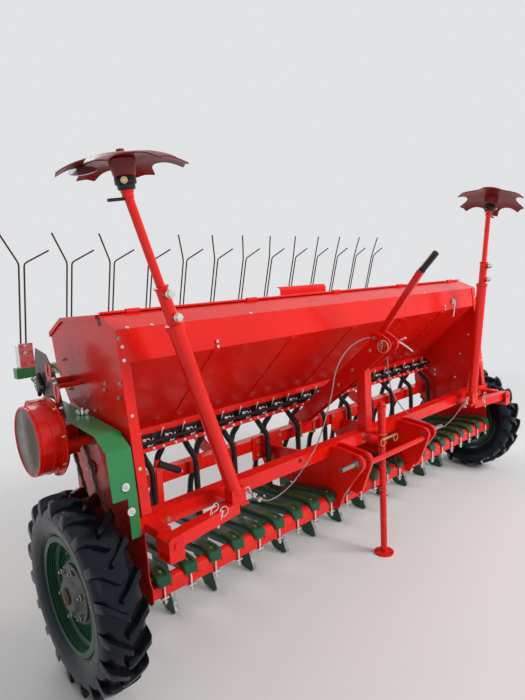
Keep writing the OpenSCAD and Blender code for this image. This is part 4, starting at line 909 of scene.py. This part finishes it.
# %% [markdown]
# ## Marker discs
# A marker's disc is pressed from sheet, with six broad lobes that bite the ground and a slight
# dish. It turns on a pin that leans outwards. Both markers are worked out as right ones, from the
# foot up along the tube's lean and then along the pin's, and the left one is mirrored.

# %% Disc shape
def notched_disc():
    """A thin dish cut into six broad lobes: the radius runs out to 205 - 62 n^0.8, where n is 1 in the
    middle of a notch and falls off as a round cut, less 6 mm at a lobe's tip. The height rises
    near the middle and falls towards the rim, a little less at the tips."""
    a = np.linspace(0, 2 * np.pi, 180, endpoint=False)
    off = np.abs((a * 6 / (2 * np.pi)) % 1 - 0.5) * 2
    cut = np.sqrt(np.clip(1 - (off / 0.62) ** 2, 0, 1))
    rim = 205 - 62 * cut ** 0.8 - 6 * np.exp(-(((off - 1) / 0.25) ** 2))
    r = 22 + (rim - 22) * np.linspace(0, 1, 22)[:, None]
    z = 3 + 4 * np.exp(-(((r - 70) / 45) ** 2)) - 34 * np.clip((r - 95) / 110, 0, None) ** 1.9
    z = z + 5 * (off - 0.5) * np.clip((r - 60) / 145, 0, 1)
    top = np.stack([r * np.cos(a), r * np.sin(a), z + 2.0], -1)
    return skin(np.concatenate([top - [0, 0, 4.0], top[::-1]]), closed=True)


c, s = np.cos(0.35), np.sin(0.35)
disc_shape = copies(notched_disc(), (0, 0, 0), [[c, -s, 0], [s, c, 0], [0, 0, 1]])
print("disc points", len(disc_shape[0]))

# %% [markdown]
# ## Disc bearings
# Under the disc sits a dull red cone that keeps soil out of the black greasy bush, and a stepped
# sleeve holds the pin. A cap with a nut and four bolts close the top. The red of the cone and the
# cap, like the disc's, is darkened as painted shade. All are turned parts, so they are lathed with
# their heights measured from the disc's middle.

# %% Disc bearings
cone = lathe([(26, -48), (32, -50), (34.5, -48), (43, 0.5), (39, 0.8), (31, -44), (26.5, -44)], 40)
cap = joined(lathe([(31, 15.5), (31.5, 17), (30, 19), (24, 20), (14, 20.5)], 36),
             moved(bolt_head(24, 12), [0, 0, 18]))
four = np.radians([45, 135, 225, 315])
disc_bolts = copies(bolt_head(13, 7), np.stack([48 * np.cos(four), 48 * np.sin(four), 5.2 + 0 * four], -1))
bush = lathe([(17, -90), (26, -89.5), (28, -86), (28, -76), (34, -72), (34, -56), (32, -50.6), (26, -50.2)], 36)
sleeve = lathe([(15.3, -116), (18.8, -115.4), (18.8, -99), (21, -98.4), (21, -91), (15.3, -90.4)], 32)
bush_bolt = copies(bolt_head(14, 9), (20, -29, -64), axes_to((0.5, -1, 0)))
at_disc = (("disc_cone", cone, disc_red_painted_shade, "disc"), ("disc_cap", cap, disc_red_painted_shade, "disc"),
           ("disc_bolts", disc_bolts, zinc, "disc"), ("disc_bush", bush, metering_black, "marker"),
           ("pin_sleeve", sleeve, red_enamel, "marker"), ("bush_bolt", bush_bolt, brass_zinc, "marker"))
print("pieces at each disc", 1 + len(at_disc))

# %% [markdown]
# ## Marker tubes
# The thin tube is clamped in the thick one by two large bolts on welded bosses, with a bead of
# weld round each end of the sleeve. A short black rod sticks out near the top.

# %% Marker tubes
marker_foot, boss_reach = np.array([975.0, 0, 655]), np.array([0, -36, 0])
clamps_along = (742, 826)
boss_bolt = joined(lathe([(24 * 0.62, 0), (24 * 0.66, 2), (24 * 0.6, 6)], 28),
                   moved(bolt_head(24, 11, washer=False), [0, 0, 6]))


def weld_bead(inner):
    """A bead of weld round a tube of this radius."""
    return lathe([(inner, -4), (inner + 5, -2.5), (inner + 6, 0), (inner + 4.5, 2.8), (inner, 4)], 40)


def tube_pieces(run, top):
    """The pieces on a tube that runs from the marker's foot in a direction up to its top."""
    clamps = [marker_foot + run * along for along in clamps_along]
    bosses = joined(*[swept([at, at + boss_reach], ring_section(15, 24)) for at in clamps])
    welds = joined(*[copies(weld_bead(radius), marker_foot + run * along, axes_to(run, (0, 1, 0)))
                     for radius, along in ((21.5, 849), (28.5, 714))])
    rod = swept([top - run * 8, top - run * 8 + [72, 0, -10]], ring_section(5.2, 12))
    return (("cross_rod", rod, metering_black),
            ("sleeve_bosses", bosses, red_enamel),
            ("sleeve_bolts", copies(boss_bolt, [at + boss_reach for at in clamps], towards_front), zinc),
            ("sleeve_welds", welds, red_enamel))


print("clamps at", clamps_along, "mm along the tube")

# %% [markdown]
# ## Markers together
# Each marker is put together from its lean: the tube's top lies 1155 mm up from the foot along the
# tube, and the disc's middle 108 mm further along the pin. The left tube leans more than the right
# one and the left pin less, so the left disc lies flatter.

# %% Markers
def leaning(degrees):
    """The direction that leans outwards from upright: (sin, 0, cos)."""
    return np.array([np.sin(np.radians(degrees)), 0, np.cos(np.radians(degrees))])


disc_at = {}
for (side, word), tube_lean, pin_lean in zip(both_sides, (17.8, 10.4), (6.0, 21.5)):
    run, pin = leaning(tube_lean), leaning(pin_lean)
    top = marker_foot + run * 1155
    disc_at[word], to_pin = top + pin * 108, axes_to(pin, (0, 1, 0))
    shape = outwards(copies(disc_shape, disc_at[word], to_pin), side)
    piece = add_piece(f"notched_disc_{word}", shape, disc_red_painted_shade, f"disc_{word}", smooth=50)
    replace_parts(piece, f"marker_disc_{word}")
    for name, shape, material, body in at_disc:
        shape = outwards(copies(shape, disc_at[word], to_pin), side)
        add_piece(f"{name}_{word}", shape, material, f"{body}_{word}")
    for name, shape, material in tube_pieces(run, top):
        add_piece(f"{name}_{word}", outwards(shape, side), material, f"marker_{word}")
print("discs at", {word: at.round(0).tolist() for word, at in disc_at.items()})

# %% [markdown]
# ## Painted highlight on the left disc
# On the left disc a leaf of pale bright steel shows. It stands partly for bare steel worn by the
# soil and partly as a painted highlight for a bright reflection on the disc. It is a thin plate with
# a pointed oval outline, laid at a slant beside the cone.

# %% Painted highlight leaf
a = np.linspace(0, 2 * np.pi, 28, endpoint=False)
leaf = np.stack([46 * np.cos(a), 27 * np.sin(a) * (1 - 0.12 * np.cos(a))], -1)
leaf_at = disc_at["left"] * [-1, 1, 1] + [-92, 82, -29]
blade = copies(slab(leaf, 3.5, 1.2), leaf_at, axes_to((-0.42, -0.47, 0.78), (0.6, 0.8, 0)))
add_piece("painted_highlight_leaf_left", blade, pale_steel_and_painted_highlight, "disc_left")
print("blade points", len(blade[0]))

# %% [markdown]
# ## Gear drum
# On the left end sits the round gear drum: a dusty flat cover in a rolled red rim, a flange with
# eight bolts where its halves meet, and a smaller cover behind it. They are turned shapes laid on
# their side, with their heights measured out from the middle of the machine. The cover's grey-brown
# is a painted reflection of bright light on glossy red paint, and the dust on its top is real dust.

# %% Gear drum
def out_of_left(shape, at):
    """Lays a shape made along Z so that it points out of the machine's left side, at (x, y, z)."""
    return copies(shape, at, axes_to(to_left))


def red(name, shape, body="frame"):
    """A piece in the red enamel."""
    return add_piece(name, shape, red_enamel, body)


drum_at = np.array([0, 523.0, 902.0])
drum_face, flange_face, drum_r = 1555, 1464, 138.2
cover = lathe([(130.5, -3), (130, -1.2), (101, -0.6), (98, 1.2), (62, 2.0), (59, 3.6), (32, 4.4), (28, 5.4),
               (2, 5.6)], 96)
add_piece("drum_cover", out_of_left(moved(cover, [0, 0, drum_face]), drum_at), cover_grey_dust_and_painted_reflection)
hoop = wire_ring(133.5, 4.2, 96, 12, height=drum_face - 2)
band = lathe([(drum_r, 1492), (141.5, 1493), (141.5, 1505), (drum_r, 1506)], 96)
flange = lathe([(drum_r, 1458), (157, 1458), (158, 1459), (158, 1463), (157, flange_face),
                (drum_r, flange_face)], 96)
red("drum_rims", out_of_left(joined(hoop, band, flange), drum_at))
eight = np.arange(8) * np.pi / 4 + 0.2
flange_bolts = np.stack([149 * np.cos(eight), 149 * np.sin(eight), flange_face + 0 * eight], -1)
add_piece("drum_bolts", out_of_left(copies(bolt_head(10, 6, stud=4), flange_bolts), drum_at), brass_zinc)
lid_profile = [(50, 1447), (52, 1449), (52, 1492), (54, 1494), (54, 1499), (50, 1501), (46, 1499), (12, 1498)]
red("second_cover", out_of_left(lathe(lid_profile, 64), (0, 642, 982)))
red("drum_boss", joined(swept([(-1452, 396, 893), (-1366, 396, 893)], ring_section(19, 28)),
                        swept([(-1456, 398, 893), (-1448, 398, 893)], ring_section(26, 28))))
print("drum pieces", 5)

# %% [markdown]
# ## Seed rate scale
# The operator sets the seed rate by a black star knob on a curved scale. The knob is moulded, with
# four arms of different lengths. The scale is a plate with a groove and a row of marks beside it,
# and both follow ellipses round the same middle. Two bent brackets and two round stays hold it.

# %% Scale plate and knob
def star_knob():
    """A hub with four rounded arms of different lengths, each a rod with a ball end."""
    parts = [lathe([(30, 0), (32, 3), (32, 16), (28, 20), (12, 21)], 32)]
    for turn, reach in ((12, 68), (100, 44), (190, 48), (280, 44)):
        d = np.array([np.cos(np.radians(turn)), np.sin(np.radians(turn)), 0])
        parts.append(swept([d * 20 + [0, 0, 10], d * reach + [0, 0, 10], d * (reach + 6) + [0, 0, 10]],
                           ring_section(9, 14), scale=[1.1, 0.95, 0.55]))
    return joined(*parts)


def on_scale(x, wide, high, angle):
    """Points on the scale's ellipse: y = 463 + wide cos angle, z = 930 + high sin angle."""
    return np.stack([np.full(len(angle), x), 463 + wide * np.cos(angle), 930 + high * np.sin(angle)], -1)


def pointer():
    """A bracket bent from flat bar into a narrow U with a rounded foot, open at the top."""
    width, height, thick = 38, 58, 4
    corner, low = width * 0.30, -height * 0.38
    line = smooth_path([(-width / 2, height / 2), (-width / 2, 0), (-corner, low), (0, -height / 2),
                        (corner, low), (width / 2, 0), (width / 2, height / 2)], 5)
    path = np.column_stack([np.zeros(len(line)), line])
    return swept(path, [(-thick / 2, -9), (thick / 2, -9), (thick / 2, 9), (-thick / 2, 9)])


plate_x, knob_y, knob_z = -1446.0, 610, 1099
knob_shape = moved(flipped(star_knob()), [0, 0, 1447])
add_piece("scale_knob", out_of_left(knob_shape, (0, knob_y, knob_z)), metering_black)
knob_screws = [(-1468.5, knob_y + 2, knob_z + dz) for dz in (-14, 0, 14)]
fasten("knob_screws", lathe([(4.2, 0), (4.2, 1.2), (2.6, 2.4)], 14), knob_screws, to_left, zinc)
groove_line = on_scale(plate_x - 1.4, 152, 262, np.radians(np.linspace(20, 118, 30)))
groove = swept(groove_line, [(-1.2, -3), (1.2, -3), (1.2, 3), (-1.2, 3)])
add_piece("scale_groove", groove, dark_steel)
mark_at = np.linspace(24, 112, 31)
tick = box((-0.4, 0.4), (-0.9, 0.9), (-7, 7), 0.1)
ticks = copies(tick, on_scale(plate_x - 0.9, 136, 242, np.radians(mark_at)), about_x(mark_at - 90))
add_piece("scale_marks", ticks, pale_steel_and_painted_highlight)
red("scale_brackets", copies(pointer(), [[-1455, 498, 1162], [-1455, 436, 1086]]))
scale_bolts = [(plate_x, y, z) for y, z in ((455, 1120), (470, 1138), (640, 1010), (420, 1030))]
fasten("scale_bolts", bolt_head(10, 6, stud=4), scale_bolts, to_left, zinc)
red("scale_stays", joined(swept([(-1340, 610, 1099), (-1442, 610, 1099)], ring_section(15.2, 24)),
                          swept([(-1340, 488, 1100), (-1442, 488, 1100)], ring_section(9.2, 20))))
print("scale pieces", 7)

# %% [markdown]
# ## Guard fasteners
# A wing nut holds the top of the green guard, so it opens without a spanner. Two washered bolts
# hold its front, beside a slot whose dark inside is painted shade on a thin black sheet, and its
# tab. The shaft's bearing shows behind a round plate.

# %% Guard fasteners
guard_lean = (0, -1, 0.10)
washer = lathe([(14, 0), (15, 0.6), (14.6, 2.2), (6, 2.4)], 32)
guard_bolt = joined(washer, moved(bolt_head(13, 8, washer=False, stud=5), [0, 0, 2]))
bearing_plate = lathe([(30, 0), (31, 1), (31, 2.4), (26, 3), (25, 1.0), (2, 1.0)], 40)
fasten("guard_wing_nut", wing_nut(17), [(-1371, 422, 988)], (0, -0.076, 1), zinc, up=(0.5, 0.8, 0))
fasten("guard_front_bolt", guard_bolt, [(-1390, 75.5, 792)], guard_lean, zinc)
fasten("guard_tab_bolt", guard_bolt, [(-1381, 66, 703)], guard_lean, zinc)
# A thin black sheet paints the shade inside the guard's slot.
fasten("guard_slot_painted_shade", slab(rounded(12, 30, 6), 0.6, 0.1), [(-1390, 77.2, 786)], guard_lean, metering_black)
fasten("bearing_plate", bearing_plate, [(-1339.2, 458, 754)], to_left, dark_steel)
fasten("bearing_bolt", bolt_head(17, 11, stud=8), [(-1340, 458, 754)], to_left, zinc)
print("guard fasteners", 6)

# %% [markdown]
# ## Wheel centres
# Each wheel is bolted to a cast hub: a dusty grey flange, darkened as painted shade, with six studs,
# a tapered boss and the brown end of the axle. The rim has three rolled ridges and a valve, in the
# rim's green, which is darkened as painted shade.

# %% Hubs
hub = lathe([(48, 1518.6), (106, 1518.6), (108, 1520), (108, 1525), (105, 1527), (82, 1528), (66, 1534),
             (60, 1546), (56, 1550.5), (48, 1551)], 64)
six = np.arange(6) * np.pi / 3 + 0.3
studs = copies(bolt_head(19, 13, stud=9), np.stack([93 * np.cos(six), 93 * np.sin(six), 1526 + 0 * six], -1))
axle_end = lathe([(31, 1549.5), (31.5, 1551), (31.5, 1558), (28, 1560), (14, 1560.3), (12, 1562),
                  (2, 1562.2)], 40)
valve = bent_wire([(0, 176, 1500), (0, 170, 1508), (0, 163, 1522), (0, 160, 1538)], 3.6, 5, 12)
ridges = joined(*[wire_ring(199, 1.9, 96, 8, height=out) for out in (1522, 1530, 1538)])
for side, word in both_sides:
    for name, shape, material, body in (("hub_flange", hub, hub_grey_dust_and_painted_shade, f"wheel_{word}"),
                                        ("hub_studs", studs, pin_steel, f"wheel_{word}"),
                                        ("axle_end", axle_end, rust_brown, "frame"),
                                        ("rim_ridges", ridges, rim_green_painted_shade, f"wheel_{word}"),
                                        ("valve", valve, brass_zinc, f"wheel_{word}")):
        fasten(f"{name}_{word}", shape, wheel_at * [0, 1, 1], (side, 0, 0), material, body)
print("wheel centres", 2)

# %% [markdown]
# ## Hopper trim
# Small bolts hold the end sheets to the hopper, pale screws sit along each end trim and the lid's
# lip, a slot lets the lid's catch through, its dark inside painted as shade on a thin black sheet,
# and a small galvanised hook with a rod hangs on the front at the right. The lid has a bolted handle.

# %% Hopper fittings
def mirrored(places):
    """The same places on the machine's other side."""
    return [(-x, y, z) for x, y, z in places]


def front_y(z):
    """How far back the leaning front sheet is at a height: 82 mm in 695 mm, from y = 76 at z = 630."""
    return 76 + (z - 630) * 82 / 695


sheet_lean = (0, -1, 0.118)
sheet_outside, sheet_inside = 1339.2, 1330.8
end_bolts = [(-sheet_outside, y, z) for y, z in (
    (123, 1296), (260, 1122), (270, 1098), (146, 1137), (161, 1082), (412, 1056),
    (450, 1026), (369, 1004), (600, 1060), (640, 1180), (560, 960), (300, 900))]
inner_bolts = [(sheet_inside, y, z) for y, z in (
    (298, 687), (156, 697), (456, 726), (456, 688), (200, 1000), (260, 860))]
small_bolt = bolt_head(10, 4.5, stud=3)
fasten("end_bolts_left", small_bolt, end_bolts, to_left, pin_steel)
fasten("end_bolts_right", small_bolt, mirrored(end_bolts), to_right, pin_steel)
fasten("inner_bolts_right", small_bolt, inner_bolts, to_left, zinc)
fasten("inner_bolts_left", small_bolt, mirrored(inner_bolts), to_right, zinc)
screw = lathe([(7.0, 0), (7.0, 1.2), (5.2, 3.2), (2.0, 4.0)], 20)
trim = [(side * 1317, front_y(z) - 0.3, z) for side in (-1, 1) for z in (1264, 1216, 1020, 830)]
fasten("trim_screws", screw, trim, sheet_lean, zinc)
rivets = [(x, y, z) for x in (-905, 905) for y, z in ((142.5, 1233), (140.0, 1212))]
fasten("front_rivets", screw, rivets, sheet_lean, zinc)
lip = [(side * x, 165, 1327.5) for side in (-1, 1) for x in (1283, 1185, 700)]
fasten("lip_screws", screw, lip, (0, -0.4, 1), zinc)
# Thin black sheets paint the shade inside the catch slots on both end sheets.
catch_slot = copies(slab(rounded(10, 34, 4.8), 0.7, 0.1), [(-1339.0, 277, 1349)], axes_to(to_left, (0, 0.3, 1)))
add_piece("catch_slots_painted_shade", joined(catch_slot, flipped(catch_slot)), metering_black)
hook_rod = bent_wire([(1012, 143, 1262), (1012, 134, 1258), (1009, 131, 1240), (1003, 133, 1200),
                      (998, 136, 1158)], 4.2, 5, 12)
add_piece("front_hook", joined(box((998, 1026), (144.0, 147.5), (1238, 1268)), hook_rod), zinc)
fasten("front_hook_bolt", bolt_head(10, 5), [(1018, 144, 1248)], (0, -1, 0.1), zinc)
handle_bolts = [(x, 519, 1363.5) for x in (-150, -60, 60, 150)]
fasten("handle_bolts", bolt_head(10, 5, stud=4), handle_bolts, (0, -0.05, 1), zinc, "lid")
print("hopper fittings", 10)

# %% [markdown]
# ## Rubber grips
# The lever and the pressure crank have black rubber grips, pushed on over the bare end. A grip is
# a tube whose radius swells in rings, and it closes round over the end of the bar.

# %% Grips
def grip(start, end, radius):
    """A rubber sleeve from start to end: its radius swells in rings and closes round at the end."""
    start, end = np.array(start, float), np.array(end, float)
    t, ribs = np.linspace(0, 1, 64), 9
    swell = radius + 0.9 * np.cos(2 * np.pi * ribs * t)
    swell = np.where(t > 0.94, swell * np.sqrt(np.clip(1 - ((t - 0.94) / 0.068) ** 2, 0.05, 1)), swell)
    swell = np.where(t < 0.05, radius + 2.2, swell)
    return swept(start + (end - start) * t[:, None], ring_section(1.0, 20), scale=swell)


grips = joined(grip((11.9, -225, 1469), (15.2, -300, 1550), 15.2),
               grip((-1222, 140, 813), (-1128, 140, 757), 13.4))
add_piece("rubber_grips", grips, metering_black)
fasten("crank_bolt", bolt_head(13, 6), [(-1126.5, 140, 756)], (0.86, 0, -0.51), zinc)
print("grip points", len(grips[0]))

# %% [markdown]
# ## Clips, ring pins and rope ends
# A spring clip and a ring pin hang at each marker's foot, ready to lock it up or down. Each rope
# ends in a thimble round its lug, held by two clamps with two nuts each. All are bent wire, so
# they are lines with a few bends.

# %% Clips, ring pins and rope ends
clip = bent_wire([(0, 0, 60), (0, 0, 20), (0, 0, -4), (5, 0, -16), (16, 0, -22), (27, 0, -14), (28, 0, -2),
                  (19, 0, 8), (9, 0, 14), (7, 0, 26), (11, 0, 36), (7, 0, 46), (9, 0, 56)], 2.2, 6, 10)
clip = flipped(clip, (1, 1, -1))
hanging = joined(swept([(0, 0, 12), (0, 0, -52), (0, 0, -56)], ring_section(6, 16), scale=[1, 1, 0.6]),
                 moved(wire_ring(19, 2.0, axis=1), [6, -4, 8]))
lean = np.array([[0.92, 0, 0.39], [0, 1, 0], [-0.39, 0, 0.92]])
left_pins = joined(copies(clip, [(-1112, -30, 648)], lean), copies(hanging, [(-1072, -34, 618)], lean))
add_piece("marker_pins_left", left_pins, zinc, "marker_left")
add_piece("marker_pins_right", flipped(left_pins), zinc, "marker_right")


def rope_end(lug, back):
    """A thimble round the lug and two saddle clamps along the rope, each with two nuts."""
    lug, back = np.array(lug, float), np.array(back, float)
    away = (back - lug) / np.linalg.norm(back - lug)
    turn = axes_to((0, 1, 0), away)
    loop = [(0, 22, 0), (-8, 12, 0), (-11, 0, 0), (-8, -9, 0), (0, -12, 0), (8, -9, 0), (11, 0, 0), (8, 12, 0)]
    thimble = swept(smooth_path(loop + loop[:1], 4)[:-1], ring_section(3.2, 10), closed=True)
    nuts = copies(bolt_head(8, 5, washer=False), [(-5, 0, -7), (5, 0, -7)], np.diag([1, -1, -1]))
    clamp = joined(box((-9, 9), (-6, 6), (-7, 7), 1.5), nuts)
    clamps = [copies(clamp, lug + away * run, turn) for run in (34, 62)]
    return joined(copies(thimble, lug, turn), *clamps)


ends = joined(rope_end((-916, -3, 650), (-885, -26, 612)), rope_end((915, -3, 651), (885, -4, 628)))
add_piece("rope_ends", ends, zinc)
print("pins and rope ends", 3)

# %% [markdown]
# ## Tower and beams
# The tower is bolted to the front beam with brassy bolts through both its sides, and the top link
# pin wears a loose ring and a bent handle, so it can be drawn by hand. Two step plates are bolted
# to the rear beam, for the operator who fills the hopper.

# %% Tower and beams
tower_side = [(-37.2, y, z) for y, z in ((38, 1085), (151, 975), (244, 885))]
fasten("tower_bolts", bolt_head(13, 7), tower_side + [(-37.2, 8, 1150)], to_left, brass_zinc)
fasten("tower_bolts_right", bolt_head(13, 7), mirrored(tower_side), to_right, brass_zinc)
ring_and_wire = joined(copies(wire_ring(30, 2.8, axis=0), [(-50, -50, 1112)]),
                       bent_wire([(-48, -44, 1142), (-52, -46, 1120), (-49, -40, 1096)], 3.0))
add_piece("pin_ring", ring_and_wire, brass_zinc)
handle_line = [(70, -44, 1118), (86, -44, 1122), (110, -44, 1112), (160, -46, 1086), (214, -48, 1054)]
add_piece("pin_handle", bent_wire(handle_line, 4.6, 5, 12), zinc)
# A thin black disc paints the shade inside a hole in the front beam.
fasten("beam_hole_painted_shade", slab(ring_section(9, 24), 0.8, 0.1), [(-529, 75.9, 640)], to_front, metering_black)
beam_bolts = [(x, 75.6, z) for x, z in (
    (-1289, 620), (-1234, 620), (1289, 620), (1234, 620), (-60, 645), (60, 645))]
fasten("beam_bolts", bolt_head(13, 7), beam_bolts, to_front, brass_zinc)
for side, word in both_sides:
    name = f"step_plate_{word}"
    low, high = sorted((side * 413, side * 213))
    foot_y, foot_z = (523, 528), (555, 600)
    red(name, joined(box((low, high), (517, 523), (512, 620), 1.2), box((low + 10, low + 40), foot_y, foot_z),
                     box((high - 40, high - 10), foot_y, foot_z)))
    corners = [(x, 517, z) for x in (low + 16, high - 16) for z in (530, 602)]
    fasten(name + "_bolts", bolt_head(13, 7), corners, to_front, brass_zinc)
print("tower and beam pieces", 10)

# %% [markdown]
# ## Lever bar and stand
# The lever for the markers is flat bar. The stand's leg is held by a pin with a ring at each end.
# Its sleeve has a rolled collar at the top and at the bottom and a loose wire ring round it, and
# the leg has a domed cap.

# %% Lever bar and stand
low, high = np.array([1.0, 4, 1158]), np.array([11.8, -222, 1468.0])
line = low + (high - low) * np.array([0, 0.03, 0.5, 0.985, 1.0])[:, None]
flat = [(14, -10), (16, -8), (16, 8), (14, 10), (-14, 10), (-16, 8), (-16, -8), (-14, -10)]
red("lever_bar", swept(line, flat, scale=[0.9, 1, 1, 1, 0.85]))
pin_line = [(-52, -3, 0), (-50, -3, 0), (58, -3, 0), (62, -3, 0)]
pin = swept(pin_line, ring_section(6.5, 16), scale=[0.7, 1, 1, 0.7])
pin_rings = copies(wire_ring(18, 2.4, axis=1), [(-50, -40, 626), (62, -40, 626)])
add_piece("stand_pin", joined(copies(pin, [(0, -36, 640)]), pin_rings), brass_zinc)
collar = lathe([(20.5, -5), (24.5, -4.4), (25.2, -3), (25.2, 3), (24.5, 4.4), (20.5, 5)], 48)
red("stand_collars", copies(collar, [(0, 0, 607), (0, 0, 794)]))
red("leg_cap", lathe([(17.2, 801), (18.4, 803), (18.4, 812), (16, 817), (9, 820.5), (2, 821.5)], 40), "stand")
ring_line = circle(27)
ring_line[:, 2] = 655 + ring_line[:, 1] / 9
add_piece("leg_wire_ring", swept(ring_line, ring_section(1.8, 8), closed=True), brass_zinc)
print("lever and stand pieces", 5)

# %% [markdown]
# ## Rims of the lower link brackets
# The two plates of a bracket have a thick rolled rim round the pin and a boss on each side of it.
# A rim is a flat bar that follows the plate's edge: the edge is a line in the YZ plane, and the
# bar's section is measured across the plate and along the edge's own normal.

# %% Bracket rims
link_pin_y, link_pin_z = -86, 606


def edge_band(outline, middle, half, thick):
    """A band on an outline of (y, z): x = middle + u, and the outline is moved by v along its normal."""
    d = np.gradient(outline, axis=0)
    d /= np.linalg.norm(d, axis=1)[:, None]
    u = np.array([-1, -1, -0.85, 0.85, 1, 1, 0.85, -0.85]) * half
    v = np.array([-0.6, 0.6, 1, 1, 0.6, -0.6, -1, -1]) * thick / 2
    y, z = outline.T[..., None]
    return skin(np.stack([middle + u + 0 * y, y - d[:, 1:] * v, z + d[:, :1] * v], -1))


def nose_line(foot, turn):
    """The plate's edge: along its top, round the pin, and down towards its foot."""
    a = np.radians(np.linspace(98, turn, 14))
    arc = np.stack([link_pin_y + 34 * np.cos(a), link_pin_z + 34 * np.sin(a)], -1)
    return np.vstack([[(36, 653)], arc, arc[-1] + (np.array(foot) - arc[-1]) * np.linspace(0.3, 1, 3)[:, None]])


rims = [edge_band(nose_line((-4, 436), 212), 312, 9, 7), edge_band(nose_line((-60, 446), 200), 252, 9, 7)]
boss = lathe([(13, 0), (31, 0), (33, 2), (33, 6), (31, 8), (13, 8)], 40)
bosses = [copies(boss, (x, link_pin_y, link_pin_z), axes_to(to_right)) for x in (317.5, 257.5)]
one = joined(*rims, *bosses)
red("bracket_rims", joined(one, flipped(one)))
print("rim points", 2 * len(one[0]))
